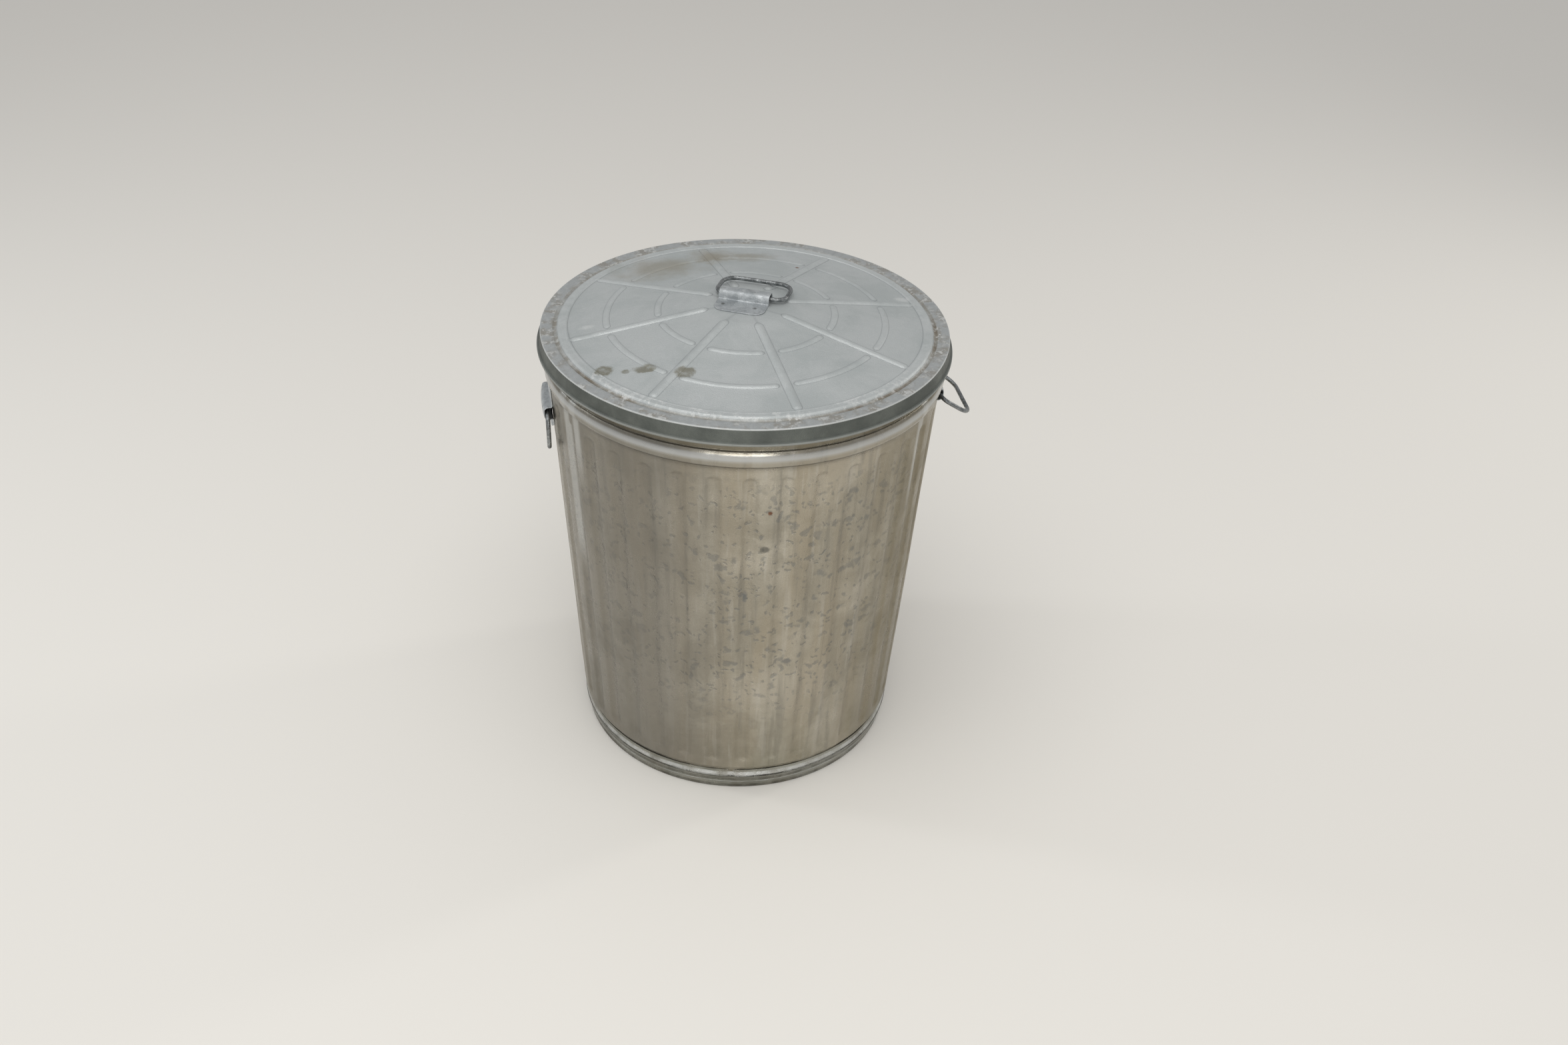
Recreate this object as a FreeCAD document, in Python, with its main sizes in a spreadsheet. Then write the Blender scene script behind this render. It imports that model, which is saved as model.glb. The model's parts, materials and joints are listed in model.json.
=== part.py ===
import FreeCAD, Part
import os
import re
import Sketcher
from FreeCAD import Placement, Rotation, Vector
from math import cos, radians, sin

# Lidded trash can of galvanized sheet, in millimetres.
# Origin: centre of the base on the floor. +Z is up, and the two side handles lie on +X and -X.
# The can is a tapered, fluted shell on a formed base hoop, closed by a recessed pan.
# Its lid drops over a rolled rim. Three like wire bails hang in three like pressed plates.

SIZES = {
    # sheet and general fits
    "sheet": 0.5,
    "foot_sheet": 0.7,
    "plate_sheet": 1.2,
    "seat_gap": 0.2,
    # tapered wall of the can, measured outside
    "foot_height": 37.0,
    "foot_radius": 202.8,
    "mouth_radius": 230.1,
    "rim_height": 546.5,
    # flutes pressed into the wall
    "flute_count": 36,
    "flute_turn": 3.5,
    "flute_width": 18.5,
    "flute_floor": 8.0,
    "flute_depth": 3.0,
    "flute_run_out": 9.0,
    "flute_clear": 0.3,
    "flute_margin_foot": 17.0,
    "flute_margin_bead": 21.0,
    # stiffening bead, collar and rolled rim
    "bead_below_rim": 49.5,
    "bead_width": 20.0,
    "bead_crown": 9.0,
    "bead_depth": 4.4,
    "collar_step": 0.3,
    "roll_width": 5.3,
    "roll_corner": 1.6,
    # foot of the wall, base hoop and bottom pan
    "neck_step": 3.8,
    "neck_height": 35.5,
    "wall_end": 14.0,
    "hoop_height": 30.5,
    "hoop_taper": 1.2,
    "hoop_bead_width": 15.0,
    "hoop_bead_crown": 5.0,
    "hoop_bead_depth": 2.0,
    "hoop_hem": 4.0,
    "pan_height": 20.0,
    # lid: flat edge, groove, swage, cone and centre pad
    "lid_overhang": 6.2,
    "lid_rest_gap": 0.3,
    "skirt_depth": 19.0,
    "skirt_flare": 2.4,
    "curl_width": 2.9,
    "curl_height": 3.0,
    "edge_width": 14.0,
    "groove_width": 4.0,
    "groove_depth": 1.0,
    "swage_width": 13.0,
    "swage_crown": 7.0,
    "swage_rise": 2.7,
    "panel_lift": 1.5,
    "dome_rise": 24.0,
    "pad_radius": 46.0,
    # ribs pressed up in the lid
    "rib_count": 8,
    "rib_turn": 7.4,
    "rib_radius": 7.3,
    "rib_rise": 2.0,
    "rib_tip": 16.0,
    "rib_margin": 6.0,
    "ring_one_radius": 102.0,
    "ring_two_radius": 161.0,
    "ring_width": 7.5,
    "ring_rise": 1.4,
    "ring_root": 2.0,
    "ring_gap": 14.0,
    # handle plates
    "plate_width": 60.0,
    "plate_corner": 12.0,
    "plate_bend_spare": 1.1,
    "long_flange": 28.0,
    "hump_width": 17.0,
    "hump_height": 11.5,
    "hump_corner": 4.5,
    "short_flange": 13.0,
    "plate_below_bead": 3.0,
    "lid_plate_x": -5.0,
    "lid_plate_y": 5.5,
    "lid_plate_turn": -24.0,
    # wire bails
    "wire_radius": 2.5,
    "wire_end_gap": 1.0,
    "bail_width": 82.0,
    "bail_depth": 45.0,
    "bail_corner": 11.0,
    "bail_stand": 2.6,
    "lid_bail_slide": 5.0,
    "lid_bail_tilt": -2.0,
    "right_bail_lift": 57.5,
    # how far a cutting form runs past the piece that it cuts
    "overrun": 10.0,
}

doc = FreeCAD.newDocument("trash_can")
sheet = doc.addObject("Spreadsheet::Sheet", "dims")
for row, (alias, number) in enumerate(SIZES.items(), start=1):
    sheet.set(f"A{row}", alias)
    sheet.set(f"B{row}", str(number))
    sheet.setAlias(f"B{row}", alias)
doc.recompute()


def bound(rule):
    """A rule in plain size names, written for the expression engine."""
    return re.sub(r"[a-z_]+", lambda word: f"dims.{word[0]}" if word[0] in SIZES else word[0], rule)


def size(rule):
    """The number that a rule gives."""
    result = sheet.evalExpression(bound(rule))
    return float(getattr(result, "Value", result))


# Rules used by more than one piece

BEAD_BOTTOM = "(rim_height - bead_below_rim)"
COLLAR_RADIUS = "(mouth_radius - collar_step)"
NECK_RADIUS = "(foot_radius - neck_step)"
LID_RADIUS = f"({COLLAR_RADIUS} + lid_overhang)"
LID_TOP = "(rim_height + lid_rest_gap + sheet)"
PAD_TOP = f"({LID_TOP} + dome_rise)"
GROOVE_RADIUS = f"({LID_RADIUS} - edge_width - groove_width / 2)"
SWAGE_RADIUS = f"({LID_RADIUS} - edge_width - groove_width)"
PANEL_RADIUS = f"({LID_RADIUS} - edge_width - groove_width - swage_width)"
SKIRT_END = f"({LID_TOP} - skirt_depth)"
SKIRT_BORE = f"({LID_RADIUS} + skirt_flare - sheet)"
HUMP_HEIGHT_Z = f"({BEAD_BOTTOM} - plate_below_bead - long_flange - hump_width / 2)"
BAR_HEIGHT = "(bail_stand + wire_radius)"


def wall(height):
    """Outer radius of the tapered wall at a height."""
    return (
        f"(foot_radius + ({height} - foot_height) * (mouth_radius - foot_radius)"
        f" / ({BEAD_BOTTOM} - foot_height))"
    )


def panel(radius):
    """Height of the lid's sloping panel at a radius."""
    fall = f"(dome_rise - panel_lift) / ({PANEL_RADIUS} - pad_radius)"
    return f"({PAD_TOP} - ({radius} - pad_radius) * {fall})"


# Drawing


def new_body(name):
    return doc.addObject("PartDesign::Body", name)


def new_sketch(body, name, role):
    """A sketch on one of a body's own origin planes."""
    plane = next(part for part in body.Origin.OriginFeatures if part.Role == role)
    sketch = body.newObject("Sketcher::SketchObject", name)
    sketch.AttachmentSupport = [(plane, "")]
    sketch.MapMode = "FlatFace"
    return sketch


def pin_point(sketch, edge, end, corner):
    """Hold one end of an edge at a corner, given as two rules from the sketch's origin."""
    for kind, axis, rule in (("DistanceX", -2, corner[0]), ("DistanceY", -1, corner[1])):
        if rule == "0":
            sketch.addConstraint(Sketcher.Constraint("PointOnObject", edge, end, axis))
            continue
        number = sketch.addConstraint(Sketcher.Constraint(kind, -1, 1, edge, end, size(rule)))
        sketch.setExpression(f"Constraints[{number}]", bound(rule))


def draw_chain(sketch, corners, bulges=None, closed=True):
    """Draw a chain of edges through corners, and close it unless told otherwise.

    An edge is a line, or an arc where bulges gives it a height over its chord, which is positive
    to the right of the way that the edge runs.
    """
    bulges = bulges or {}
    spots = [Vector(size(x), size(y), 0) for x, y in corners]
    first = sketch.GeometryCount
    count = len(corners) if closed else len(corners) - 1
    ends = []
    for index in range(count):
        start = spots[index]
        finish = spots[(index + 1) % len(spots)]
        shape = Part.LineSegment(start, finish)
        if index in bulges:
            chord = finish - start
            side = Vector(chord.y, -chord.x, 0).normalize()
            shape = Part.Arc(start, (start + finish) * 0.5 + side * size(bulges[index]), finish)
        edge = sketch.addGeometry(shape, False)
        near, far = (sketch.getPoint(edge, end).distanceToPoint(start) for end in (1, 2))
        ends.append((1, 2) if near < far else (2, 1))
    for index in range(count):
        pin_point(sketch, first + index, ends[index][0], corners[index])
        if closed or index < count - 1:
            after = (index + 1) % count
            joint = (first + index, ends[index][1], first + after, ends[after][0])
            sketch.addConstraint(Sketcher.Constraint("Coincident", *joint))
    if not closed:
        pin_point(sketch, first + count - 1, ends[-1][1], corners[-1])
    for index, height in bulges.items():
        start, finish = corners[index], corners[(index + 1) % len(corners)]
        chord = f"sqrt((({finish[0]}) - ({start[0]}))^2 + (({finish[1]}) - ({start[1]}))^2)"
        sweep = f"4 * atan(2 * abs({height}) / {chord})"
        number = sketch.addConstraint(Sketcher.Constraint("Angle", first + index, radians(size(sweep))))
        sketch.setExpression(f"Constraints[{number}]", bound(sweep))


def turn(body, name, sketch, angle="360", axis="V_Axis", centred=False):
    """Add to a body by revolving a sketch about one of its lines."""
    feature = body.newObject("PartDesign::Revolution", name)
    feature.Profile = sketch
    feature.ReferenceAxis = (sketch, [axis])
    feature.Midplane = centred
    feature.Refine = False
    feature.setExpression("Angle", bound(angle))
    return feature


def repeat(body, name, features, axis_sketch, count):
    """Copy features evenly around the body's upright axis."""
    pattern = body.newObject("PartDesign::PolarPattern", name)
    pattern.Originals = features
    pattern.Axis = (axis_sketch, ["V_Axis"])
    pattern.Angle = 360
    pattern.Refine = False
    pattern.setExpression("Occurrences", bound(count))
    body.Tip = pattern
    return pattern


# The can's shell


def flute(body, name, inset, low, high):
    """One flute, cut by a flared channel that is ruled from section to section and runs out at both ends.

    The channel that hollows the shell is a quarter of the sheet wider on each side, which leaves
    about a sheet's thickness on the slanted flanks.
    """
    flare = "(flute_width - flute_floor) / (2 * flute_depth)"
    stations = (
        (f"({low} - flute_run_out)", "-flute_clear"),
        (low, "flute_depth"),
        (high, "flute_depth"),
        (f"({high} + flute_run_out)", "-flute_clear"),
    )
    sections = []
    for number, (height, depth) in enumerate(stations):
        floor = f"({wall(height)} - {inset} - ({depth}))"
        mouth = f"({wall(height)} + flute_depth)"
        half_floor = f"(flute_floor / 2 + {inset} / 4)"
        half_mouth = f"({half_floor} + {flare} * ({mouth} - {floor}))"
        sketch = new_sketch(body, f"{name}_section_{number}", "XY_Plane")
        sketch.setExpression("AttachmentOffset.Base.z", bound(height))
        draw_chain(
            sketch,
            [(floor, f"-{half_floor}"), (mouth, f"-{half_mouth}"), (mouth, half_mouth), (floor, half_floor)],
        )
        sections.append(sketch)
    channel = body.newObject("PartDesign::SubtractiveLoft", name)
    channel.Profile = sections[0]
    channel.Sections = sections[1:]
    channel.Ruled = True
    channel.Refine = False
    return channel


def can_form(name, inset, low, high):
    """A solid of the can's outside, or with an inset the solid that hollows it, between two heights."""
    body = new_body(name)
    section = new_sketch(body, f"{name}_section", "XZ_Plane")
    flute_low = "(foot_height + flute_margin_foot)"
    flute_high = f"({BEAD_BOTTOM} - flute_margin_bead)"
    crown_low = f"({BEAD_BOTTOM} + (bead_width - bead_crown) / 2)"
    corners = [
        ("0", low),
        (f"{NECK_RADIUS} - {inset}", low),
        (f"{NECK_RADIUS} - {inset}", f"neck_height + {inset}"),
        (f"foot_radius - {inset}", f"foot_height + {inset}"),
        (f"{wall(flute_low)} - {inset}", flute_low),
        (f"{wall(flute_high)} - {inset}", flute_high),
        (f"mouth_radius - {inset}", f"{BEAD_BOTTOM} + {inset} / 2"),
        (f"mouth_radius + bead_depth - {inset}", f"{crown_low} + {inset} / 2"),
        (f"mouth_radius + bead_depth - {inset}", f"{crown_low} + bead_crown - {inset} / 2"),
        (f"{COLLAR_RADIUS} - {inset}", f"{BEAD_BOTTOM} + bead_width - {inset} / 2"),
    ]
    if inset == "0":
        roll_outside = f"({COLLAR_RADIUS} - sheet + roll_width)"
        corners += [
            (COLLAR_RADIUS, "rim_height - roll_width"),
            (roll_outside, "rim_height - roll_width"),
            (roll_outside, "rim_height - roll_corner"),
            (f"{roll_outside} - roll_corner", "rim_height"),
        ]
    else:
        corners.append((f"{COLLAR_RADIUS} - {inset}", high))
    corners.append(("0", high))
    draw_chain(section, corners)
    turn(body, f"{name}_turned", section)
    channel = flute(body, f"{name}_flute", inset, flute_low, flute_high)
    repeat(body, f"{name}_flutes", [channel], section, "flute_count")
    body.Placement = Placement(Vector(), Rotation(Vector(0, 0, 1), size("flute_turn")))
    return body


def hollow(name, outside, inside):
    """A piece of sheet: one form with another taken from its inside."""
    piece = doc.addObject("Part::Cut", name)
    piece.Base = outside
    piece.Tool = inside
    return piece


def body_shell():
    outside = can_form("can_outside", "0", "wall_end", "rim_height")
    inside = can_form("can_inside", "sheet", "(wall_end - overrun)", "(rim_height + overrun)")
    return hollow("body_shell", outside, inside)


def bottom_pan():
    """Recessed bottom: a disc whose flange stands down inside the foot of the shell."""
    body = new_body("bottom_pan")
    section = new_sketch(body, "pan_section", "XZ_Plane")
    flange = f"({NECK_RADIUS} - sheet - seat_gap)"
    corners = [
        ("0", "pan_height - foot_sheet"),
        (f"{flange} - foot_sheet", "pan_height - foot_sheet"),
        (f"{flange} - foot_sheet", "wall_end"),
        (flange, "wall_end"),
        (flange, "pan_height"),
        ("0", "pan_height"),
    ]
    draw_chain(section, corners)
    turn(body, "pan_turned", section)
    return body


def base_hoop():
    """Formed hoop that the can stands on: hem, flared foot and raised bead round the shell's neck."""
    body = new_body("base_hoop")
    section = new_sketch(body, "hoop_section", "XZ_Plane")
    top = f"({NECK_RADIUS} + seat_gap + foot_sheet)"
    bead_low = "(hoop_height - hoop_bead_width)"
    crown_low = f"({bead_low} + (hoop_bead_width - hoop_bead_crown) / 2)"
    outside = [
        (top, bead_low),
        (f"{top} + hoop_bead_depth", crown_low),
        (f"{top} + hoop_bead_depth", f"{crown_low} + hoop_bead_crown"),
        (top, "hoop_height"),
    ]
    inside = [(f"{radius} - foot_sheet", height) for radius, height in reversed(outside)]
    floor_radius = f"({NECK_RADIUS} - hoop_taper)"
    hem = [
        (f"{floor_radius} - foot_sheet", "foot_sheet"),
        (f"{floor_radius} - hoop_hem", "foot_sheet"),
        (f"{floor_radius} - hoop_hem", "0"),
        (floor_radius, "0"),
    ]
    draw_chain(section, outside + inside + hem)
    turn(body, "hoop_turned", section)
    return body


# The lid


def lid_form(name, inset):
    """A solid of the lid's outside, or with an inset the solid that hollows it."""
    body = new_body(name)
    section = new_sketch(body, f"{name}_section", "XZ_Plane")
    if inset == "0":
        foot = [
            ("0", SKIRT_END),
            (f"{SKIRT_BORE} + curl_width", SKIRT_END),
            (f"{SKIRT_BORE} + sheet", f"{SKIRT_END} + curl_height"),
        ]
    else:
        foot = [
            ("0", f"{SKIRT_END} - overrun"),
            (SKIRT_BORE, f"{SKIRT_END} - overrun"),
            (SKIRT_BORE, SKIRT_END),
        ]
    top = [
        (f"{LID_RADIUS} - {inset}", f"{LID_TOP} - {inset}"),
        (f"{LID_RADIUS} - edge_width", f"{LID_TOP} - {inset}"),
        (GROOVE_RADIUS, f"{LID_TOP} - groove_depth - {inset}"),
        (SWAGE_RADIUS, f"{LID_TOP} - {inset}"),
        (f"{SWAGE_RADIUS} - (swage_width - swage_crown) / 2", f"{LID_TOP} + swage_rise - {inset}"),
        (f"{PANEL_RADIUS} + (swage_width - swage_crown) / 2", f"{LID_TOP} + swage_rise - {inset}"),
        (PANEL_RADIUS, f"{LID_TOP} + panel_lift - {inset}"),
        ("pad_radius", f"{PAD_TOP} - {inset}"),
        ("0", f"{PAD_TOP} - {inset}"),
    ]
    draw_chain(section, foot + top)
    turn(body, f"{name}_turned", section)
    rib = radial_rib(body, f"{name}_rib", inset)
    rings = [ring_rib(body, f"{name}_{ring}", ring, inset) for ring in ("ring_one_radius", "ring_two_radius")]
    repeat(body, f"{name}_ribs", [rib, *rings], section, "rib_count")
    body.Placement = Placement(Vector(), Rotation(Vector(0, 0, 1), size("rib_turn")))
    return body


def radial_rib(body, name, inset):
    """One radial rib: the top of a rod with pointed ends, half sunk along the slope of the panel."""
    sketch = new_sketch(body, f"{name}_section", "XZ_Plane")
    start = "(pad_radius + rib_margin)"
    finish = f"({PANEL_RADIUS} - rib_margin)"
    tip = f"(rib_tip - 2 * {inset})"
    corners = []
    for radius, reach in (
        (f"({start} - {tip})", "0"),
        (start, f"(rib_radius - {inset})"),
        (finish, f"(rib_radius - {inset})"),
        (f"({finish} + {tip})", "0"),
    ):
        corners.append((radius, f"{panel(radius)} + rib_rise - rib_radius + {reach}"))
    draw_chain(sketch, corners)
    ends = [Vector(size(radius), size(height), 0) for radius, height in (corners[0], corners[-1])]
    axis = sketch.addGeometry(Part.LineSegment(*ends), True)
    sketch.addConstraint(Sketcher.Constraint("Coincident", axis, 1, 0, 1))
    sketch.addConstraint(Sketcher.Constraint("Coincident", axis, 2, 2, 2))
    return turn(body, name, sketch, axis="Axis0")


def ring_rib(body, name, ring, inset):
    """One stretch of a ring rib, half way between two radial ribs."""
    sketch = new_sketch(body, f"{name}_section", "XZ_Plane")
    sketch.AttachmentOffset = Placement(Vector(), Rotation(Vector(0, 1, 0), 1))
    sketch.setExpression("AttachmentOffset.Rotation.Angle", bound("180 / rib_count"))
    inner = f"({ring} - (ring_width - {inset}) / 2)"
    outer = f"({ring} + (ring_width - {inset}) / 2)"
    corners = [
        (inner, f"{panel(inner)} - {inset} - ring_root"),
        (outer, f"{panel(outer)} - {inset} - ring_root"),
        (outer, f"{panel(outer)} - {inset}"),
        (ring, f"{panel(ring)} - {inset} + ring_rise"),
        (inner, f"{panel(inner)} - {inset}"),
    ]
    draw_chain(sketch, corners)
    sweep = f"360 / rib_count - ring_gap / {ring} * 180 / pi"
    return turn(body, name, sketch, angle=sweep, centred=True)


def lid_shell():
    return hollow("lid_shell", lid_form("lid_outside", "0"), lid_form("lid_inside", "sheet"))


# The handle plates, one pressing used three times


def plate_corners(back, hump_middle):
    """Section of a handle plate: short flange, hump and long flange, all of one sheet.

    back gives the surface that the plate lies on, and hump_middle the place of the hump's middle.
    """
    chain = []
    for inset, skin in (("0", "plate_sheet"), ("plate_sheet", "0")):
        side = f"(hump_width / 2 - {inset})"
        shoulder = f"({side} - hump_corner + {inset} / 2)"
        crest = f"{back(hump_middle)} + hump_height - {inset}"
        flange = [
            f"({hump_middle} - hump_width / 2 - short_flange)",
            f"({hump_middle} - {side})",
            f"({hump_middle} + {side})",
            f"({hump_middle} + hump_width / 2 + long_flange)",
        ]
        low_end, low_root, high_root, high_end = [(f"{back(at)} + seat_gap + {skin}", at) for at in flange]
        hump = [
            (f"{crest} - hump_corner + {inset} / 2", f"{hump_middle} - {side}"),
            (crest, f"{hump_middle} - {shoulder}"),
            (crest, f"{hump_middle} + {shoulder}"),
            (f"{crest} - hump_corner + {inset} / 2", f"{hump_middle} + {side}"),
        ]
        skin_chain = [low_end, low_root, *hump, high_root, high_end]
        chain += reversed(skin_chain) if chain else skin_chain
    return chain


def round_corners(body, name, role, middle, facing="1"):
    """Trim a plate to its width and length, with rounded corners, looking square on to it.

    facing is -1 where the sketch sees the long flange below the hump.
    """
    half = "plate_width / 2"
    low = f"({facing} * ({middle} - hump_width / 2 - short_flange))"
    high = f"({facing} * ({middle} + hump_width / 2 + long_flange))"
    sketch = new_sketch(body, f"{name}_blank", role)
    margin = [
        (f"-{half} - overrun", f"{low} - {facing} * overrun"),
        (f"{half} + overrun", f"{low} - {facing} * overrun"),
        (f"{half} + overrun", f"{high} + {facing} * overrun"),
        (f"-{half} - overrun", f"{high} + {facing} * overrun"),
    ]
    draw_chain(sketch, margin)
    corners = [
        (f"-{half} + plate_corner", low),
        (f"{half} - plate_corner", low),
        (half, f"{low} + {facing} * plate_corner"),
        (half, f"{high} - {facing} * plate_corner"),
        (f"{half} - plate_corner", high),
        (f"-{half} + plate_corner", high),
        (f"-{half}", f"{high} - {facing} * plate_corner"),
        (f"-{half}", f"{low} + {facing} * plate_corner"),
    ]
    rise = f"{facing} * plate_corner * (1 - sqrt(0.5))"
    draw_chain(sketch, corners, {1: rise, 3: rise, 5: rise, 7: rise})
    pocket = body.newObject("PartDesign::Pocket", f"{name}_trim")
    pocket.Profile = sketch
    pocket.Midplane = True
    pocket.setExpression("Length", bound("4 * rim_height"))
    body.Tip = pocket


def side_plate(name, azimuth):
    """Plate bent to the can's curve, under the bead, its hump open at both ends."""
    body = new_body(name)
    section = new_sketch(body, f"{name}_section", "XZ_Plane")
    low = f"({HUMP_HEIGHT_Z} - hump_width / 2 - short_flange)"
    draw_chain(section, plate_corners(wall, HUMP_HEIGHT_Z))
    spread = f"2 * plate_bend_spare * asin(plate_width / 2 / {wall(low)})"
    turn(body, f"{name}_bent", section, angle=spread, centred=True)
    round_corners(body, name, "YZ_Plane", HUMP_HEIGHT_Z)
    body.Placement = Placement(Vector(), Rotation(Vector(0, 0, 1), azimuth))
    return body


def lid_hump_place():
    """The middle of the lid plate's hump on the pad, and the way that the plate is turned."""
    spin = Rotation(Vector(0, 0, 1), size("lid_plate_turn"))
    across = Vector(size("lid_plate_x"), size("lid_plate_y + (long_flange - short_flange) / 2"), 0)
    return Placement(spin.multVec(across), spin)


def lid_plate(name):
    """The same plate, flat, on the lid's centre pad, with its long flange to the front."""
    body = new_body(name)
    section = new_sketch(body, f"{name}_section", "YZ_Plane")
    corners = plate_corners(lambda place: PAD_TOP, "0")
    draw_chain(section, [(f"-({place})", height) for height, place in corners])
    strip = body.newObject("PartDesign::Pad", f"{name}_strip")
    strip.Profile = section
    strip.Midplane = True
    strip.setExpression("Length", bound("plate_width"))
    round_corners(body, name, "XY_Plane", "0", facing="-1")
    body.Placement = lid_hump_place()
    return body


# The wire bails, one bent wire used three times


def bail(name, place):
    """A rectangular ring of wire, whose two ends butt in the middle of its bar.

    It is bent in its own XY plane, with the bar along X through the origin and the grip at +Y.
    Each round corner is bent in two short straights.
    """
    body = new_body(name)
    half = "(bail_width / 2)"
    bend = "(bail_corner * (1 - sqrt(0.5)))"
    right_half = [
        ("wire_end_gap / 2", "0"),
        (f"{half} - bail_corner", "0"),
        (f"{half} - {bend}", bend),
        (half, "bail_corner"),
        (half, "bail_depth - bail_corner"),
        (f"{half} - {bend}", f"bail_depth - {bend}"),
        (f"{half} - bail_corner", "bail_depth"),
    ]
    left_half = [(f"-({across})", along) for across, along in reversed(right_half)]
    path = new_sketch(body, f"{name}_path", "XY_Plane")
    draw_chain(path, right_half + left_half, closed=False)
    wire = new_sketch(body, f"{name}_wire", "YZ_Plane")
    wire.setExpression("AttachmentOffset.Base.z", bound("wire_end_gap / 2"))
    circle = wire.addGeometry(Part.Circle(Vector(), Vector(0, 0, 1), size("wire_radius")), False)
    wire.addConstraint(Sketcher.Constraint("Coincident", circle, 3, -1, 1))
    rule = wire.addConstraint(Sketcher.Constraint("Radius", circle, size("wire_radius")))
    wire.setExpression(f"Constraints[{rule}]", bound("wire_radius"))
    pipe = body.newObject("PartDesign::AdditivePipe", f"{name}_pipe")
    pipe.Profile = wire
    pipe.Spine = path
    pipe.Transition = "Right corner"
    body.Placement = place
    return body


def bail_place(pivot, bar, grip):
    """The place of a bail from its bar's middle, its bar's way and its grip's way."""
    return Placement(pivot, Rotation(bar, grip, bar.cross(grip), "XYZ"))


def side_bail_place(azimuth, lift):
    """A side bail, lifted outwards by an angle from hanging straight down."""
    pivot = Vector(size(f"{wall(HUMP_HEIGHT_Z)} + {BAR_HEIGHT}"), 0, size(HUMP_HEIGHT_Z))
    grip = Vector(sin(radians(lift)), 0, -cos(radians(lift)))
    round_can = Placement(Vector(), Rotation(Vector(0, 0, 1), azimuth))
    return round_can.multiply(bail_place(pivot, Vector(0, 1, 0), grip))


def lid_bail_place():
    """The lid's bail, laid back from its bar and slid along its hump."""
    hump = lid_hump_place()
    pivot = hump.multVec(Vector(size("lid_bail_slide"), 0, size(f"{PAD_TOP} + {BAR_HEIGHT}")))
    tilt = radians(size("lid_bail_tilt"))
    bar = hump.Rotation.multVec(Vector(1, 0, 0))
    grip = hump.Rotation.multVec(Vector(0, cos(tilt), sin(tilt)))
    return bail_place(pivot, bar, grip)


# The whole can

pieces = [
    body_shell(),
    bottom_pan(),
    base_hoop(),
    side_plate("right_handle_plate", 0),
    side_plate("left_handle_plate", 180),
    bail("right_bail", side_bail_place(0, size("right_bail_lift"))),
    bail("left_bail", side_bail_place(180, 0)),
    lid_shell(),
    lid_plate("lid_handle_plate"),
    bail("lid_bail", lid_bail_place()),
]
doc.recompute()

for item in doc.Objects:
    if "Invalid" in item.State or "Error" in item.State:
        raise RuntimeError(f"{item.Name} failed: {item.State}")

os.makedirs("parts", exist_ok=True)
for piece in pieces:
    shape = piece.Shape
    if shape.isNull() or not shape.isValid() or len(shape.Solids) != 1:
        raise RuntimeError(f"{piece.Label} is not one valid solid")
    shape.exportStep(f"parts/{piece.Label}.step")
    print(piece.Label, round(shape.Volume), "mm3", shape.BoundBox)
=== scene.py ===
"""Lidded trash can of galvanized sheet, dressed for a render round its packed solids.

Every piece is worked out in the solids' own frame, in metres: the middle of the base is the
origin, +Z is up and the two side handles lie on +X and -X. Angles run from +X towards +Y.
"""

import json
import math
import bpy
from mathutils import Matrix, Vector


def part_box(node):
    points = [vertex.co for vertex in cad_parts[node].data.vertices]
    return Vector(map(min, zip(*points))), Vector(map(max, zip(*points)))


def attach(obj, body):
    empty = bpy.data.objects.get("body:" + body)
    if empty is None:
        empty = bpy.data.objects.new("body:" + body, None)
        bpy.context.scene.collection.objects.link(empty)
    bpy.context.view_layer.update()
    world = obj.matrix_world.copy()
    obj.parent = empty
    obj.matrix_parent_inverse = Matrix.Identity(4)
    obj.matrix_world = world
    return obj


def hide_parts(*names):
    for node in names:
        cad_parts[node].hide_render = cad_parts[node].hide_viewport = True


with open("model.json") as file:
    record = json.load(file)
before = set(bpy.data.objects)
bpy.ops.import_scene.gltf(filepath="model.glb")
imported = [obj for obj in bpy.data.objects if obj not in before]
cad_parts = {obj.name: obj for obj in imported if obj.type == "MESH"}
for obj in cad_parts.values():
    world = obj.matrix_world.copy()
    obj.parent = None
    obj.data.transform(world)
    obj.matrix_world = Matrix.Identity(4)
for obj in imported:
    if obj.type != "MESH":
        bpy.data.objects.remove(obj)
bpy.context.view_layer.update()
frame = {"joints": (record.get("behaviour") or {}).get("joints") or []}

from types import SimpleNamespace

import bpy
import numpy as np
from bpy.props import FloatProperty, FloatVectorProperty, IntProperty, PointerProperty
from mathutils import Matrix, Vector

bl_info = {
    "name": "Galvanized Trash Can",
    "version": (1, 0, 0),
    "blender": (4, 5, 0),
    "location": "View3D > Sidebar > Trash Can",
    "description": "Builds a fluted can of galvanized sheet with its lid, handles and finishes",
    "category": "Add Mesh",
}

JOINTS = {joint["name"]: joint for joint in frame["joints"]}
MM = 0.001


# Settings


def length(name, description, millimetres):
    """A property that holds a length, given here in millimetres."""
    return FloatProperty(
        name=name, description=description, default=millimetres * MM, precision=5, unit="LENGTH", subtype="DISTANCE"
    )


def turn(name, description, degrees):
    """A property that holds an angle."""
    return FloatProperty(name=name, description=description, default=math.radians(degrees), subtype="ANGLE")


def count(name, description, default):
    """A property that holds a number of things."""
    return IntProperty(name=name, description=description, default=default, min=1)


def linear(red, green, blue):
    """A display colour from 0 to 255, turned into the linear light that shaders work in."""
    shares = np.array([red, green, blue]) / 255
    return tuple(np.where(shares <= 0.04045, shares / 12.92, ((shares + 0.055) / 1.055) ** 2.4)) + (1.0,)


def colour(name, description, red, green, blue):
    """A property that holds a colour."""
    return FloatVectorProperty(
        name=name, description=description, default=linear(red, green, blue), size=4, min=0, max=1, subtype="COLOR"
    )


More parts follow.
